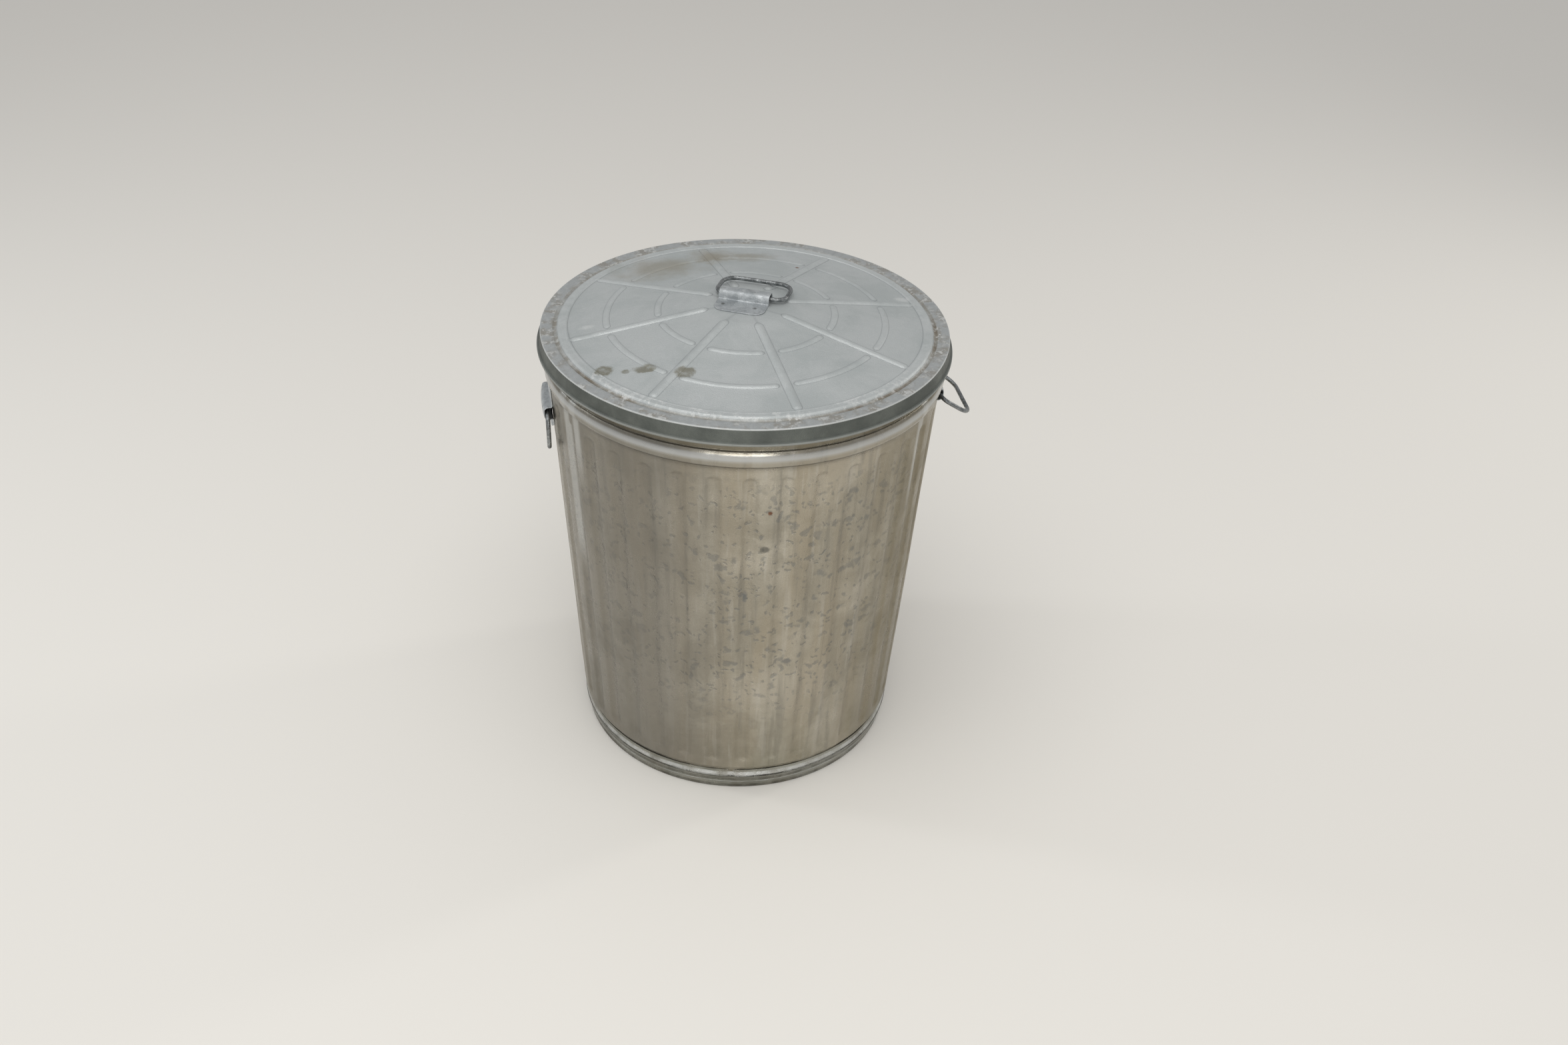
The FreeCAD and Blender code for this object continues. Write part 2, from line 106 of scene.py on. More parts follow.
class WallSizes(bpy.types.PropertyGroup):
    """Shell of the can, measured outside."""

    sheet: length("Sheet", "Thickness of the can's sheet", 0.5)
    foot_height: length("Foot height", "Where the tapered wall starts", 37)
    foot_radius: length("Foot radius", "Radius of the wall at its foot", 202.8)
    bead_bottom: length("Bead bottom", "Where the wall ends and the bead starts", 497)
    mouth_radius: length("Mouth radius", "Radius of the wall under the bead", 230.1)
    neck_radius: length("Neck radius", "Radius of the neck inside the hoop", 199)
    neck_height: length("Neck height", "Top of the neck", 35.5)
    wall_end: length("Wall end", "Lower edge of the shell", 14)
    bead_width: length("Bead width", "Height of the bead", 20)
    bead_depth: length("Bead depth", "How far the bead stands out", 4.4)
    collar_radius: length("Collar radius", "Radius of the collar over the bead", 229.8)
    rim_height: length("Rim height", "Top of the rolled rim", 546.5)
    roll_width: length("Roll width", "Thickness of the rolled rim", 5.3)
    flute_count: count("Flutes", "Number of flutes round the wall", 36)
    flute_turn: turn("Flute turn", "Angle of the first flute", 3.5)
    flute_width: length("Flute width", "Width of a flute", 18.5)
    flute_depth: length("Flute depth", "Depth of a flute", 2.5)
    flute_low: length("Flute low", "Where the flutes reach full depth at the foot", 54)
    flute_high: length("Flute high", "Where the flutes lose full depth at the mouth", 476)
    flute_run_out: length("Flute run-out", "Length of each end of a flute", 9)
    unevenness: length("Unevenness", "How far the sheet wanders from a true cone", 0.5)


class BaseSizes(bpy.types.PropertyGroup):
    """Hoop and bottom pan."""

    sheet: length("Sheet", "Thickness of the hoop and of the pan", 0.7)
    hoop_height: length("Hoop height", "Top edge of the hoop", 30.5)
    floor_radius: length("Floor radius", "Radius of the hoop where it stands", 197.8)
    hoop_radius: length("Hoop radius", "Radius of the hoop under its top edge", 199.9)
    bead_radius: length("Bead radius", "Radius of the hoop's bead", 201.9)
    bead_width: length("Bead width", "Height of the hoop's bead", 15)
    crease_height: length("Crease height", "Height of the pressed crease", 10)
    hem: length("Hem", "Width of the hem turned in under the hoop", 4)
    pan_radius: length("Pan radius", "Outside radius of the bottom pan", 198.3)
    pan_height: length("Pan height", "Top of the bottom pan", 20)
    pan_end: length("Pan end", "Lower edge of the pan's flange", 14)
    notch_turn: turn("Notch turn", "Angle of the dent in the hoop's bead", 260)


class LidSizes(bpy.types.PropertyGroup):
    """Lid, measured outside."""

    sheet: length("Sheet", "Thickness of the lid's sheet", 0.5)
    radius: length("Radius", "Radius of the lid's flat edge", 236)
    top: length("Top", "Height of the lid's flat edge", 547.3)
    skirt_end: length("Skirt end", "Lower edge of the lid", 528.3)
    skirt_radius: length("Skirt radius", "Radius of the skirt over its curl", 238.4)
    curl_radius: length("Curl radius", "Outermost radius of the curl", 240.7)
    curl_height: length("Curl height", "Height of the curl", 3)
    edge_width: length("Edge width", "Width of the flat edge", 14)
    groove_width: length("Groove width", "Width of the groove inside the flat edge", 4)
    groove_depth: length("Groove depth", "Depth of that groove", 1.1)
    swage_width: length("Swage width", "Width of the raised band", 13)
    swage_rise: length("Swage rise", "How far the raised band stands up", 2.7)
    panel_lift: length("Panel lift", "How far the sloping panel starts over the flat edge", 1.5)
    dome_rise: length("Dome rise", "How far the middle stands over the flat edge", 24)
    pad_radius: length("Pad radius", "Radius of the flat middle", 46)
    rib_count: count("Ribs", "Number of radial ribs", 8)
    rib_turn: turn("Rib turn", "Angle of the first rib", 7.4)
    rib_width: length("Rib width", "Width of a radial rib", 10.5)
    rib_rise: length("Rib rise", "Height of a radial rib", 2)
    rib_start: length("Rib start", "Radius where a rib reaches its height", 52)
    rib_finish: length("Rib finish", "Radius where a rib loses its height", 200)
    rib_tip: length("Rib tip", "Length of a rib's rounded end", 8)
    ring_one: length("First ring", "Radius of the inner ring rib", 102)
    ring_two: length("Second ring", "Radius of the outer ring rib", 161)
    ring_width: length("Ring width", "Width of a ring rib", 8)
    ring_rise: length("Ring rise", "Height of a ring rib", 1.4)
    ring_gap: length("Ring gap", "Half the break in a ring rib at each radial rib", 7)
    unevenness: length("Unevenness", "How far the panel wanders from a true cone", 0.6)


class HandleSizes(bpy.types.PropertyGroup):
    """Pressed plates and wire bails."""

    sheet: length("Sheet", "Thickness of a plate", 1.2)
    seat_gap: length("Seat gap", "Gap under a plate", 0.2)
    plate_width: length("Plate width", "Width of a plate", 60)
    plate_corner: length("Plate corner", "Radius of a plate's corners", 12)
    long_flange: length("Long flange", "Length of a plate's longer flange", 28)
    short_flange: length("Short flange", "Length of a plate's shorter flange", 13)
    hump_width: length("Hump width", "Width of the hump that holds the wire", 17)
    hump_height: length("Hump height", "How far the hump stands up", 11.5)
    hump_middle: length("Hump middle", "Height of the side plates' humps", 457.5)
    lip_flare: length("Lip flare", "How far a side plate's lower lip bends out", 2)
    weld_radius: length("Weld radius", "Radius of a spot weld's dimple", 2.4)
    weld_depth: length("Weld depth", "Depth of a spot weld's dimple", 0.4)
    lid_plate_x: length("Lid plate along", "Place of the lid plate's hump along itself", -5)
    lid_plate_y: length("Lid plate across", "Place of the lid plate's hump across itself", 13)
    lid_plate_turn: turn("Lid plate turn", "How far the lid plate is turned", -24)
    wire_radius: length("Wire radius", "Radius of a bail's wire", 2.5)
    wire_gap: length("Wire gap", "Gap between the wire's two ends", 1)
    bail_width: length("Bail width", "Width of a bail between its wire's middles", 82)
    bail_depth: length("Bail depth", "Reach of a bail from its bar", 45)
    bail_corner: length("Bail corner", "Radius of a bail's corners by its bar", 11)
    bail_far_corner: length("Far corner", "Radius of a bail's far corners", 17)


class FinishColours(bpy.types.PropertyGroup):
    """Colours of the zinc and of what has settled on it."""

    # The warm tone of both wall colours is partly painted reflection of a warm brown floor.
    wall_light: colour("Wall, light", "Brighter zinc of the can's wall", 184, 178, 164)
    wall_dark: colour("Wall, dark", "Duller zinc of the can's wall", 158, 152, 138)
    wall_bruise: colour("Wall, bruise", "Blue-grey knocks in the wall", 104, 109, 112)
    lid_light: colour("Lid, light", "Brighter zinc of the lid", 190, 194, 194)
    lid_dark: colour("Lid, dark", "Duller zinc of the lid", 172, 177, 177)
    # Painted shade: the skirt's zinc is made darker to stand for the shade and dull reflection it gets.
    lid_skirt_shade: colour("Lid, skirt", "Dull zinc of the lid's skirt", 84, 88, 84)
    # Also used for painted highlights: the wall's bright crests and bead, the lid's top corner and the hoop's bead.
    worn: colour("Worn", "Bright zinc where an edge is rubbed", 212, 214, 213)
    # Also used for the painted highlight along the hoop's crease.
    chalk: colour("Chalk", "White bloom on scuffed zinc", 204, 208, 208)
    dirt: colour("Dirt", "Brown dirt in the grooves", 104, 90, 68)
    olive: colour("Olive", "Olive stains on the lid", 104, 98, 74)
    rust: colour("Rust", "Rust spots", 112, 68, 40)
    wire_light: colour("Wire, light", "Brighter zinc of the wire", 150, 153, 154)
    wire_dark: colour("Wire, dark", "Duller zinc of the wire", 92, 95, 96)
    plate_light: colour("Plate, light", "Brighter zinc of the plates", 196, 200, 202)
    plate_dark: colour("Plate, dark", "Duller zinc of the plates", 160, 165, 168)
    weld: colour("Weld", "Burnt ring round a spot weld", 74, 72, 68)


class StageSettings(bpy.types.PropertyGroup):
    """Floor, light and camera."""

    floor: colour("Floor", "Colour of the floor", 226, 223, 217)
    backdrop: colour("Backdrop", "Colour behind the can", 232, 232, 232)
    ambient: FloatProperty(name="Ambient", description="Strength of the light all round", default=0.72, min=0)
    mirrored: FloatProperty(name="Mirrored", description="Strength of the light as metal shows it", default=0.5, min=0)
    camera_place: FloatVectorProperty(
        name="Camera place", description="Where the camera stands", default=(-0.2448, -1.5458, 1.3526),
        subtype="TRANSLATION", unit="LENGTH",
    )
    camera_yaw: turn("Camera yaw", "Heading of the camera, from +Y towards +X", 11.0093)
    camera_pitch: turn("Camera pitch", "How far the camera looks down", 34.69)
    camera_roll: turn("Camera roll", "How far the camera leans", 2.7328)
    camera_lens: FloatProperty(name="Lens", description="Focal length on a 36 mm sensor", default=34.59)


SETTINGS = {
    "can_wall": WallSizes,
    "can_base": BaseSizes,
    "can_lid": LidSizes,
    "can_handles": HandleSizes,
    "can_finish": FinishColours,
    "can_stage": StageSettings,
}


# Shapes


def millimetres(sizes):
    """A property group's lengths, in millimetres."""
    return SimpleNamespace(**{key: getattr(sizes, key) / MM for key in type(sizes).__annotations__})


def fillet(corners, steps=7):
    """A profile through corners, each given as its two coordinates and a cut, in millimetres.

    A corner C is replaced by the parabola (1-t)^2 A + 2t(1-t) C + t^2 B, where A and B lie on the
    sides before and after it, at the cut's distance. The profile comes back in metres.
    """
    table = np.array(corners, float) * MM
    spots, cuts = table[:, :2], table[:, 2:]
    back = np.diff(spots, axis=0, prepend=spots[:1])
    ahead = np.diff(spots, axis=0, append=spots[-1:])
    back_way, ahead_way = (way / np.maximum(np.linalg.norm(way, axis=1, keepdims=True), 1e-9) for way in (back, ahead))
    before, after = spots - back_way * cuts, spots + ahead_way * cuts
    t = np.linspace(0, 1, steps)[None, :, None]
    curve = (1 - t) ** 2 * before[:, None] + 2 * t * (1 - t) * spots[:, None] + t**2 * after[:, None]
    curve = curve.reshape(-1, 2)
    apart = np.linalg.norm(np.diff(curve, axis=0), axis=1) > 1e-6
    return curve[np.concatenate([[True], apart])]


def ease(value):
    """3t^2 - 2t^3 between nought and one, and flat outside them."""
    t = np.clip(value, 0, 1)
    return t * t * (3 - 2 * t)


def pressed(across, width, depth, fade, softness=0.4 * MM):
    """Depth of a pressed channel, or height of a pressed rib, at a distance from its middle line.

    It is a circular arc of that width and depth. The arc sinks as fade goes from 1 to 0, so its ends
    run out in a point, and the larger of it and nought is taken softly: (a + sqrt(a^2 + s^2)) / 2.
    """
    half = width / 2
    radius = (half**2 + depth**2) / (2 * depth)
    arc = np.sqrt(np.maximum(radius**2 - across**2, 0)) - (radius - depth)
    sunk = arc - 1.15 * depth * (1 - fade)
    return (sunk + np.sqrt(sunk**2 + softness**2)) / 2 - softness**2 / (4 * depth)


def wander(angle, along, size, seed, turns=(2, 9), pace=25):
    """Mean of twelve sine waves of random turns, pace and phase, round the can and along it."""
    random = np.random.default_rng(seed)
    rounds = random.integers(*turns, 12)
    paces = random.uniform(-pace, pace, 12)
    phases = random.uniform(0, 2 * np.pi, 12)
    return size * np.sin(rounds * angle[..., None] + paces * along[..., None] + phases).mean(-1) * 2


def full_turn(steps):
    """One row of angles that share out a full turn."""
    return np.linspace(0, 2 * np.pi, steps, endpoint=False)[None, :]


def headings(line):
    """Unit vectors along a line of points: the difference of its neighbours over its length."""
    way = np.gradient(line, axis=0)
    return way / np.linalg.norm(way, axis=1, keepdims=True)


def around(radius, angle, height):
    """Points from radius, angle and height: x = r cos(a), y = r sin(a) and z = height."""
    radius, angle, height = np.broadcast_arrays(radius, angle, height)
    return np.stack([radius * np.cos(angle), radius * np.sin(angle), height], -1)


def shell_mesh(name, rings, ends, marks=None):
    """A closed mesh over a grid of points, whose rows are rings closed round on themselves.

    ends tells how the rows end: "joined" joins the last ring to the first, "pole" gathers each end
    ring into its middle, and "slit" sews each end ring's points to the ones across from them.
    Faces are turned outwards by the sign of the volume: a sixth of the sum of p0 . (p1 x p2).
    """
    rows, columns = rings.shape[:2]
    points = rings.reshape(-1, 3)
    index = np.arange(rows * columns).reshape(rows, columns)
    loop = np.vstack([index, index[:1]]) if ends == "joined" else index
    loop = np.hstack([loop, loop[:, :1]])
    quads = np.stack([loop[:-1, :-1], loop[:-1, 1:], loop[1:, 1:], loop[1:, :-1]], -1).reshape(-1, 4)
    corners = [quads]
    if ends == "pole":
        points = np.vstack([points, rings[0].mean(0), rings[-1].mean(0)])
        start, finish = loop[0], loop[-1]
        first = np.full(columns, rows * columns)
        corners.append(np.stack([start[1:], start[:-1], first], -1))
        corners.append(np.stack([finish[:-1], finish[1:], first + 1], -1))
    if ends == "slit":
        half = columns // 2
        for ring, way in ((index[0], 1), (index[-1], -1)):
            near, far = ring[:half], ring[half:][::-1]
            cap = np.stack([near[1:], near[:-1], far[:-1], far[1:]], -1)
            corners.append(cap[:, ::way])
    fans = [part[:, [0, k, k + 1]] for part in corners for k in range(1, part.shape[1] - 1)]
    a, b, c = (points[np.vstack(fans)[:, k]] for k in range(3))
    if np.einsum("ij,ij->i", a, np.cross(b, c)).sum() < 0:
        corners = [part[:, ::-1] for part in corners]
    mesh = bpy.data.meshes.new(name)
    mesh.from_pydata(points, [], [face for part in corners for face in part.tolist()])
    mesh.shade_smooth()
    for mark, values in (marks or {}).items():
        full = np.zeros(len(points), np.float32)
        full[: rows * columns] = np.broadcast_to(values, (rows, columns)).ravel()
        mesh.attributes.new(mark, "FLOAT", "POINT").data.foreach_set("value", full)
    mesh.validate()
    return mesh


def add_piece(name, mesh, body, material, node):
    """Put a piece in the scene, on its body, in place of the solid that it stands for."""
    piece = bpy.data.objects.new(name, mesh)
    bpy.context.scene.collection.objects.link(piece)
    mesh.materials.append(material)
    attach(piece, body)
    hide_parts(node)


def flute_columns(sizes, radius):
    """Angles round the wall, for each row's radius, and each column's distance from its flute's middle.

    Thirteen columns cross a flute at fixed distances x, at the angle x / radius, so that its edges
    run straight up the wall. Six more share out the crest between two flutes.
    """
    reach = sizes.flute_width / 2 + 1.5 * MM
    pitch = 2 * np.pi / sizes.flute_count
    cross = np.linspace(-reach, reach, 13)
    share = np.linspace(0, 1, 8)[1:-1]
    edge = reach / radius[:, None]
    local = np.hstack([cross / radius[:, None], edge + share * (pitch - 2 * edge)])
    middles = sizes.flute_turn + pitch * np.arange(sizes.flute_count)
    angle = (middles[None, :, None] + local[:, None, :]).reshape(len(radius), -1)
    near = np.where(local > pitch / 2, pitch - local, local)
    across = np.broadcast_to((near * radius[:, None])[:, None, :], (len(radius), sizes.flute_count, local.shape[1]))
    return angle, across.reshape(len(radius), -1)


def taper(sizes, height):
    """Outside radius of the straight wall at a height: foot + (height - foot height) * slope."""
    slope = (sizes.mouth_radius - sizes.foot_radius) / (sizes.bead_bottom - sizes.foot_height)
    return sizes.foot_radius + (height - sizes.foot_height) * slope


def wall_mesh(sizes):
    """Shell of the can: a profile up the outside, over the rolled rim and down the inside.

    Each point's radius is the profile's, less the flute's depth there, and plus a slow wander.
    The bead's profile is r = R + d sin(u)^0.75 and z = middle - half cos(u), for u from 0 to pi.
    """
    s, m = sizes, millimetres(sizes)
    low, high, run = s.flute_low, s.flute_high, s.flute_run_out
    heights = np.concatenate([
        np.linspace(low - run - 3 * MM, low + 2 * MM, 11),
        np.linspace(low + 2 * MM, high - 2 * MM, 14)[1:-1],
        np.linspace(high - 2 * MM, high + run + 3 * MM, 11),
    ])
    wall = np.stack([taper(s, heights), heights], -1)
    u = np.linspace(0, np.pi, 15)
    bead = np.stack([
        s.mouth_radius + (s.collar_radius - s.mouth_radius) * u / np.pi + s.bead_depth * np.sin(u) ** 0.75,
        s.bead_bottom + s.bead_width * (1 - np.cos(u)) / 2,
    ], -1)
    foot = fillet([
        (m.neck_radius, m.wall_end, 0),
        (m.neck_radius, m.neck_height, 1.2),
        (m.foot_radius, m.foot_height, 1.2),
        (m.foot_radius + 0.1, m.foot_height + 2, 0),
    ], 4)
    rim, roll, cut = m.rim_height, m.roll_width, m.roll_width * 0.48
    collar_inside = m.collar_radius - m.sheet
    rolled_rim = fillet([
        (m.collar_radius, m.bead_bottom + m.bead_width + 1, 0),
        (m.collar_radius, rim - roll, 0.5),
        (collar_inside + roll, rim - roll, cut),
        (collar_inside + roll, rim, cut),
        (collar_inside, rim, cut),
        (collar_inside, rim - roll - 2, 0),
    ], 5)
    up = np.vstack([foot, wall, bead])
    profile = np.vstack([up, rolled_rim, up[::-1] - (s.sheet, 0)])
    radius, height = profile.T
    inside = np.arange(len(profile))[:, None] >= len(up) + len(rolled_rim)
    angle, across = flute_columns(s, radius)
    radius, height = radius[:, None], height[:, None]
    fade = ease((height - (low - run)) / run) * ease((high + run - height) / run)
    sunk = pressed(across, s.flute_width, s.flute_depth, fade, 0.9 * MM)
    free = ease((height - s.foot_height) / 0.06) * ease((s.rim_height - height) / 0.08)
    bent = radius - sunk + wander(angle, height, s.unevenness, seed=7) * free
    marks = {"flute": sunk / s.flute_depth, "inside": inside}
    return shell_mesh("can_wall", around(bent, angle, height), "joined", marks)


def hoop_mesh(sizes):
    """Base hoop: a closed profile turned round, with a hem, a crease and a bead, and a dent in the bead."""
    s, m = sizes, millimetres(sizes)
    sheet, top, floor = m.sheet, m.hoop_height, m.floor_radius
    neck, bead, crease = m.hoop_radius, m.bead_radius, m.crease_height
    low = top - m.bead_width
    outside = [
        (floor - 0.2, 0, 0.3),
        (floor + 0.5, 2.2, 1.2),
        (floor + 0.9, crease - 1.4, 0.5),
        (floor + 1.6, crease, 0.5),
        (floor + 1.3, crease + 1.2, 0.5),
        (neck, low, 1.0),
        (bead, low + 4.6, 2.4),
        (bead, low + 7.0, 2.4),
        (neck + 0.2, top - 2.6, 1.4),
        (neck, top, 0.25),
        (neck - sheet, top, 0.25),
    ]
    inside = [
        (neck - sheet, top - 2.6, 1.0),
        (bead - sheet, low + 7.0, 2.0),
        (bead - sheet, low + 4.6, 2.0),
        (neck - sheet, low, 1.0),
        (floor + 1.6 - sheet, crease, 1.0),
        (floor - sheet, sheet + 1.4, 0.8),
        (floor - m.hem, sheet, 0.3),
        (floor - m.hem, 0, 0.3),
    ]
    profile = fillet([(floor - 2, 0, 0), *outside, *inside, (floor - 2.2, 0, 0)], 5)
    radius, height = profile[:, :1], profile[:, 1:]
    angle = full_turn(300)
    dent_depth, dent_width = 1.3 * MM, 4 * MM
    aside = (angle - s.notch_turn) * s.bead_radius
    dent = dent_depth * np.exp(-((aside / dent_width) ** 2)) * ease((height - 14 * MM) / (6 * MM))
    loose = ease((height - 2 * MM) / (8 * MM))
    bent = radius - dent + wander(angle, height, 0.35 * MM, seed=11, turns=(3, 14)) * loose
    return shell_mesh("base_hoop_formed", around(np.minimum(bent, s.bead_radius), angle, height), "joined")


def pan_mesh(sizes):
    """Bottom pan: a flat disc whose rounded edge turns down into a flange, as one turned profile."""
    m = millimetres(sizes)
    sheet, rim, top, end = m.sheet, m.pan_radius, m.pan_height, m.pan_end
    flat = (4, 60, 120, 170)
    over = [(radius, top, 0) for radius in flat]
    edge = [(rim, top, 1.8), (rim, end, 0.2), (rim - sheet, end, 0.2), (rim - sheet, top - sheet, 1.2)]
    under = [(radius, top - sheet, 0) for radius in reversed(flat)]
    profile = fillet(over + edge + under, 5)
    radius, height = profile[:, :1], profile[:, 1:]
    angle = full_turn(240)
    level = height - wander(angle, radius, 0.25 * MM, seed=3) * ease((0.19 - radius) / 0.06)
    return shell_mesh("bottom_pan_pressed", around(radius, angle, level), "pole")


def lid_relief(sizes, radius, angle):
    """Height of the lid's upper face, and how much of it is pressed up, at a radius and angle.

    The height is the pad, the straight slope of the panel or the flat edge, whichever holds at that
    radius, plus the raised band, less the groove, and plus the larger of the radial and ring ribs.
    """
    s = sizes
    swage_edge = s.radius - s.edge_width - s.groove_width
    panel_edge = swage_edge - s.swage_width
    slope = (s.dome_rise - s.panel_lift) / (panel_edge - s.pad_radius)
    outward = radius - s.pad_radius
    bend = (outward + np.sqrt(outward**2 + (2 * MM) ** 2)) / 2
    panel = s.top + s.dome_rise - slope * bend
    flat = ease((radius - panel_edge) / (4 * MM))
    base = panel * (1 - flat) + s.top * flat
    flank = 3.5 * MM
    band = ease((radius - panel_edge + 1 * MM) / flank) * ease((swage_edge - radius) / flank)
    groove = pressed(radius - swage_edge - s.groove_width / 2, s.groove_width, s.groove_depth, 1, 0.2 * MM)
    pitch = 2 * np.pi / s.rib_count
    aside = (angle - s.rib_turn + pitch / 2) % pitch - pitch / 2
    across = radius * np.sin(aside)
    along = radius * np.cos(aside)
    fade = ease((along - s.rib_start + s.rib_tip) / s.rib_tip) * ease((s.rib_finish + s.rib_tip - along) / s.rib_tip)
    rib = pressed(across, s.rib_width, s.rib_rise, fade)
    broken = ease((np.abs(across) - s.ring_gap) / (5 * MM))
    rings = [pressed(radius - ring, s.ring_width, s.ring_rise, broken, 0.3 * MM) for ring in (s.ring_one, s.ring_two)]
    raised = np.maximum(rib, np.maximum(*rings))
    height = base + s.swage_rise * band - groove + raised
    return height, np.maximum(raised / s.ring_rise, band)


def lid_columns(sizes):
    """Angles round the lid, close together over the radial ribs and wider apart between them."""
    half = np.array([0, 0.25, 0.5, 0.8, 1.1, 1.45, 1.8, 2.2, 2.7, 3.3, 4.0, 4.8, 5.7, 6.8, 8.2])
    pitch = 360 / sizes.rib_count
    between = np.linspace(half[-1], pitch - half[-1], 14)[1:-1]
    local = np.radians(np.concatenate([-half[:0:-1], half, between]))
    return (sizes.rib_turn + 2 * np.pi / sizes.rib_count * np.arange(sizes.rib_count)[:, None] + local).ravel()


def lid_rows(sizes, step):
    """Radii across the lid's face: close together over what is pressed up, wider apart elsewhere."""
    m = millimetres(sizes)
    swage_edge = m.radius - m.edge_width - m.groove_width
    panel_edge = swage_edge - m.swage_width
    stops, gaps = [6, 30, 43, 54], [12, 5, 1.6]
    for ring in (m.ring_one, m.ring_two):
        reach = m.ring_width / 2 + 1.2
        stops += [ring - reach, ring + reach]
        gaps += [8, 0.95]
    stops += [m.rib_finish - 1, panel_edge - 2, swage_edge + m.groove_width + 0.5, m.radius - 1.4]
    gaps += [8, 1.1, 0.85, 4]
    spans = [
        np.linspace(low, high, max(2, math.ceil((high - low) / gap / step) + 1))[:-1]
        for low, high, gap in zip(stops[:-1], stops[1:], gaps)
    ]
    return np.concatenate(spans + [stops[-1:]]) * MM


def lid_mesh(sizes):
    """Lid: its pressed face outwards from the middle, over the edge, round the curl and back inside."""
    s, m = sizes, millimetres(sizes)
    angle = lid_columns(s)[None, :]
    upper, under = lid_rows(s, 1.0)[:, None], lid_rows(s, 1.9)[::-1, None]
    radius, skirt, curl, sheet = m.radius, m.skirt_radius, m.curl_radius, m.sheet
    top, end, lift = m.top, m.skirt_end, m.curl_height
    side = fillet([
        (radius - 1.0, top, 0),
        (radius + 0.1, top, 1.0),
        (skirt - 0.6, end + lift + 4, 2),
        (skirt, end + lift, 0.8),
        (curl, end + lift - 0.1, 1.3),
        (curl, end, 1.4),
        (skirt - sheet, end, 0.8),
        (skirt - sheet - 0.5, end + lift + 4, 2),
        (radius - sheet - 0.4, top - sheet, 0.8),
        (radius - sheet - 1.5, top - sheet, 0),
    ], 6)
    face, crest = lid_relief(s, upper, angle)
    below, _ = lid_relief(s, under, angle)
    radii = np.vstack([upper, side[:, :1], under])
    heights = np.vstack([face, side[:, 1:] + 0 * angle, below - s.sheet])
    mark = np.zeros_like(heights)
    mark[: len(crest)] = crest
    calm = ease((s.radius - s.edge_width - radii) / 0.03) * ease((radii - 0.03) / 0.03)
    heights = heights + wander(angle, radii, s.unevenness, seed=23, turns=(1, 6), pace=45) * calm
    return shell_mesh("lid_pressed", around(radii, angle, heights), "pole", {"crest": mark})


def plate_mesh(name, sizes, place, flare):
    """Handle plate: one sheet with a hump, carried over rounded corners on both flanges.

    A point is given by s across the plate and t along it. Its height is the section's at t, the
    inner face being the outer one moved along its normal by the sheet. The half width at t is
    w - c + sqrt(c^2 - d^2), where d is how far t lies inside the corner's zone. Spot welds are
    dimples of the form depth * exp(-(distance / radius)^2), and the lower lip bends out.
    """
    z, m = sizes, millimetres(sizes)
    half_hump, skin, crown = m.hump_width / 2, m.seat_gap + m.sheet, m.hump_height
    short_end, long_end = -half_hump - m.short_flange, half_hump + m.long_flange
    short_stops = short_end + np.array([0, 0.15, 0.5, 1.1, 2, 3.2, 4.8, 6.6, 8.6, 10.6])
    long_stops = long_end - np.array([24, 22, 20, 18, 16, 14, 12, 9.5, 7.2, 5.2, 3.5, 2.1, 1.1, 0.5, 0.15, 0])
    hump = [
        (-half_hump, skin, 1.3), (-half_hump, crown, 6.5), (half_hump, crown, 6.5), (half_hump, skin, 1.3),
    ]
    section = fillet([(t, skin, 0) for t in short_stops] + hump + [(t, skin, 0) for t in long_stops])
    t, height = section[:, :1], section[:, 1:]
    way = headings(section)
    corner, bevel = z.plate_corner, 0.25 * MM
    inside = np.maximum(np.maximum(t - (long_end * MM - corner), short_end * MM + corner - t), 0)
    half = z.plate_width / 2 - corner + np.sqrt(np.maximum(corner**2 - inside**2, 0))
    outer_s = np.linspace(-1, 1, 45) * (half - bevel)
    welds = np.array([(-21, 21), (17, 21), (-22, -15), (23, -15)]) * MM
    far = (outer_s[..., None] - welds[:, 0]) ** 2 + (t[..., None] - welds[:, 1]) ** 2
    dimple = np.exp(-far / z.weld_radius**2).max(-1)
    lip = flare * ease((-t / MM - half_hump - 7) / 6)
    outer_h = height - z.weld_depth * dimple + lip

    def layer(s, h, depth):
        """Points at s and height h, moved in along the section's normal by a depth."""
        return place(s, t + way[:, 1:] * depth, h - way[:, :1] * depth)

    edges = [layer(side * half, outer_h[:, :1], depth) for side in (-1, 1) for depth in (bevel, z.sheet - bevel)]
    rings = np.concatenate([
        edges[0], layer(outer_s, outer_h, 0), edges[2], edges[3], layer(outer_s, outer_h, z.sheet)[:, ::-1], edges[1],
    ], axis=1)
    mark = np.zeros(rings.shape[:2])
    mark[:, 1 : 1 + dimple.shape[1]] = dimple
    return shell_mesh(name, rings, "slit", {"weld": mark})


def on_wall(middle, wall, azimuth):
    """Place for a side plate: t runs up the wall, s round it, and the height stands out from it."""

    def place(s, t, height):
        level = middle + t
        return around(taper(wall, level) + height, azimuth + np.arcsin(s / wall.mouth_radius), level)

    return place


def on_lid(sizes, lid):
    """Place for the lid's plate: s along its hump, and t towards the front, on the flat middle."""
    cos, sin = math.cos(sizes.lid_plate_turn), math.sin(sizes.lid_plate_turn)

    def place(s, t, height):
        x, y = sizes.lid_plate_x + s, sizes.lid_plate_y - t
        x, y, z = np.broadcast_arrays(x, y, lid.top + lid.dome_rise + height)
        return np.stack([x * cos - y * sin, x * sin + y * cos, z], -1)

    return place


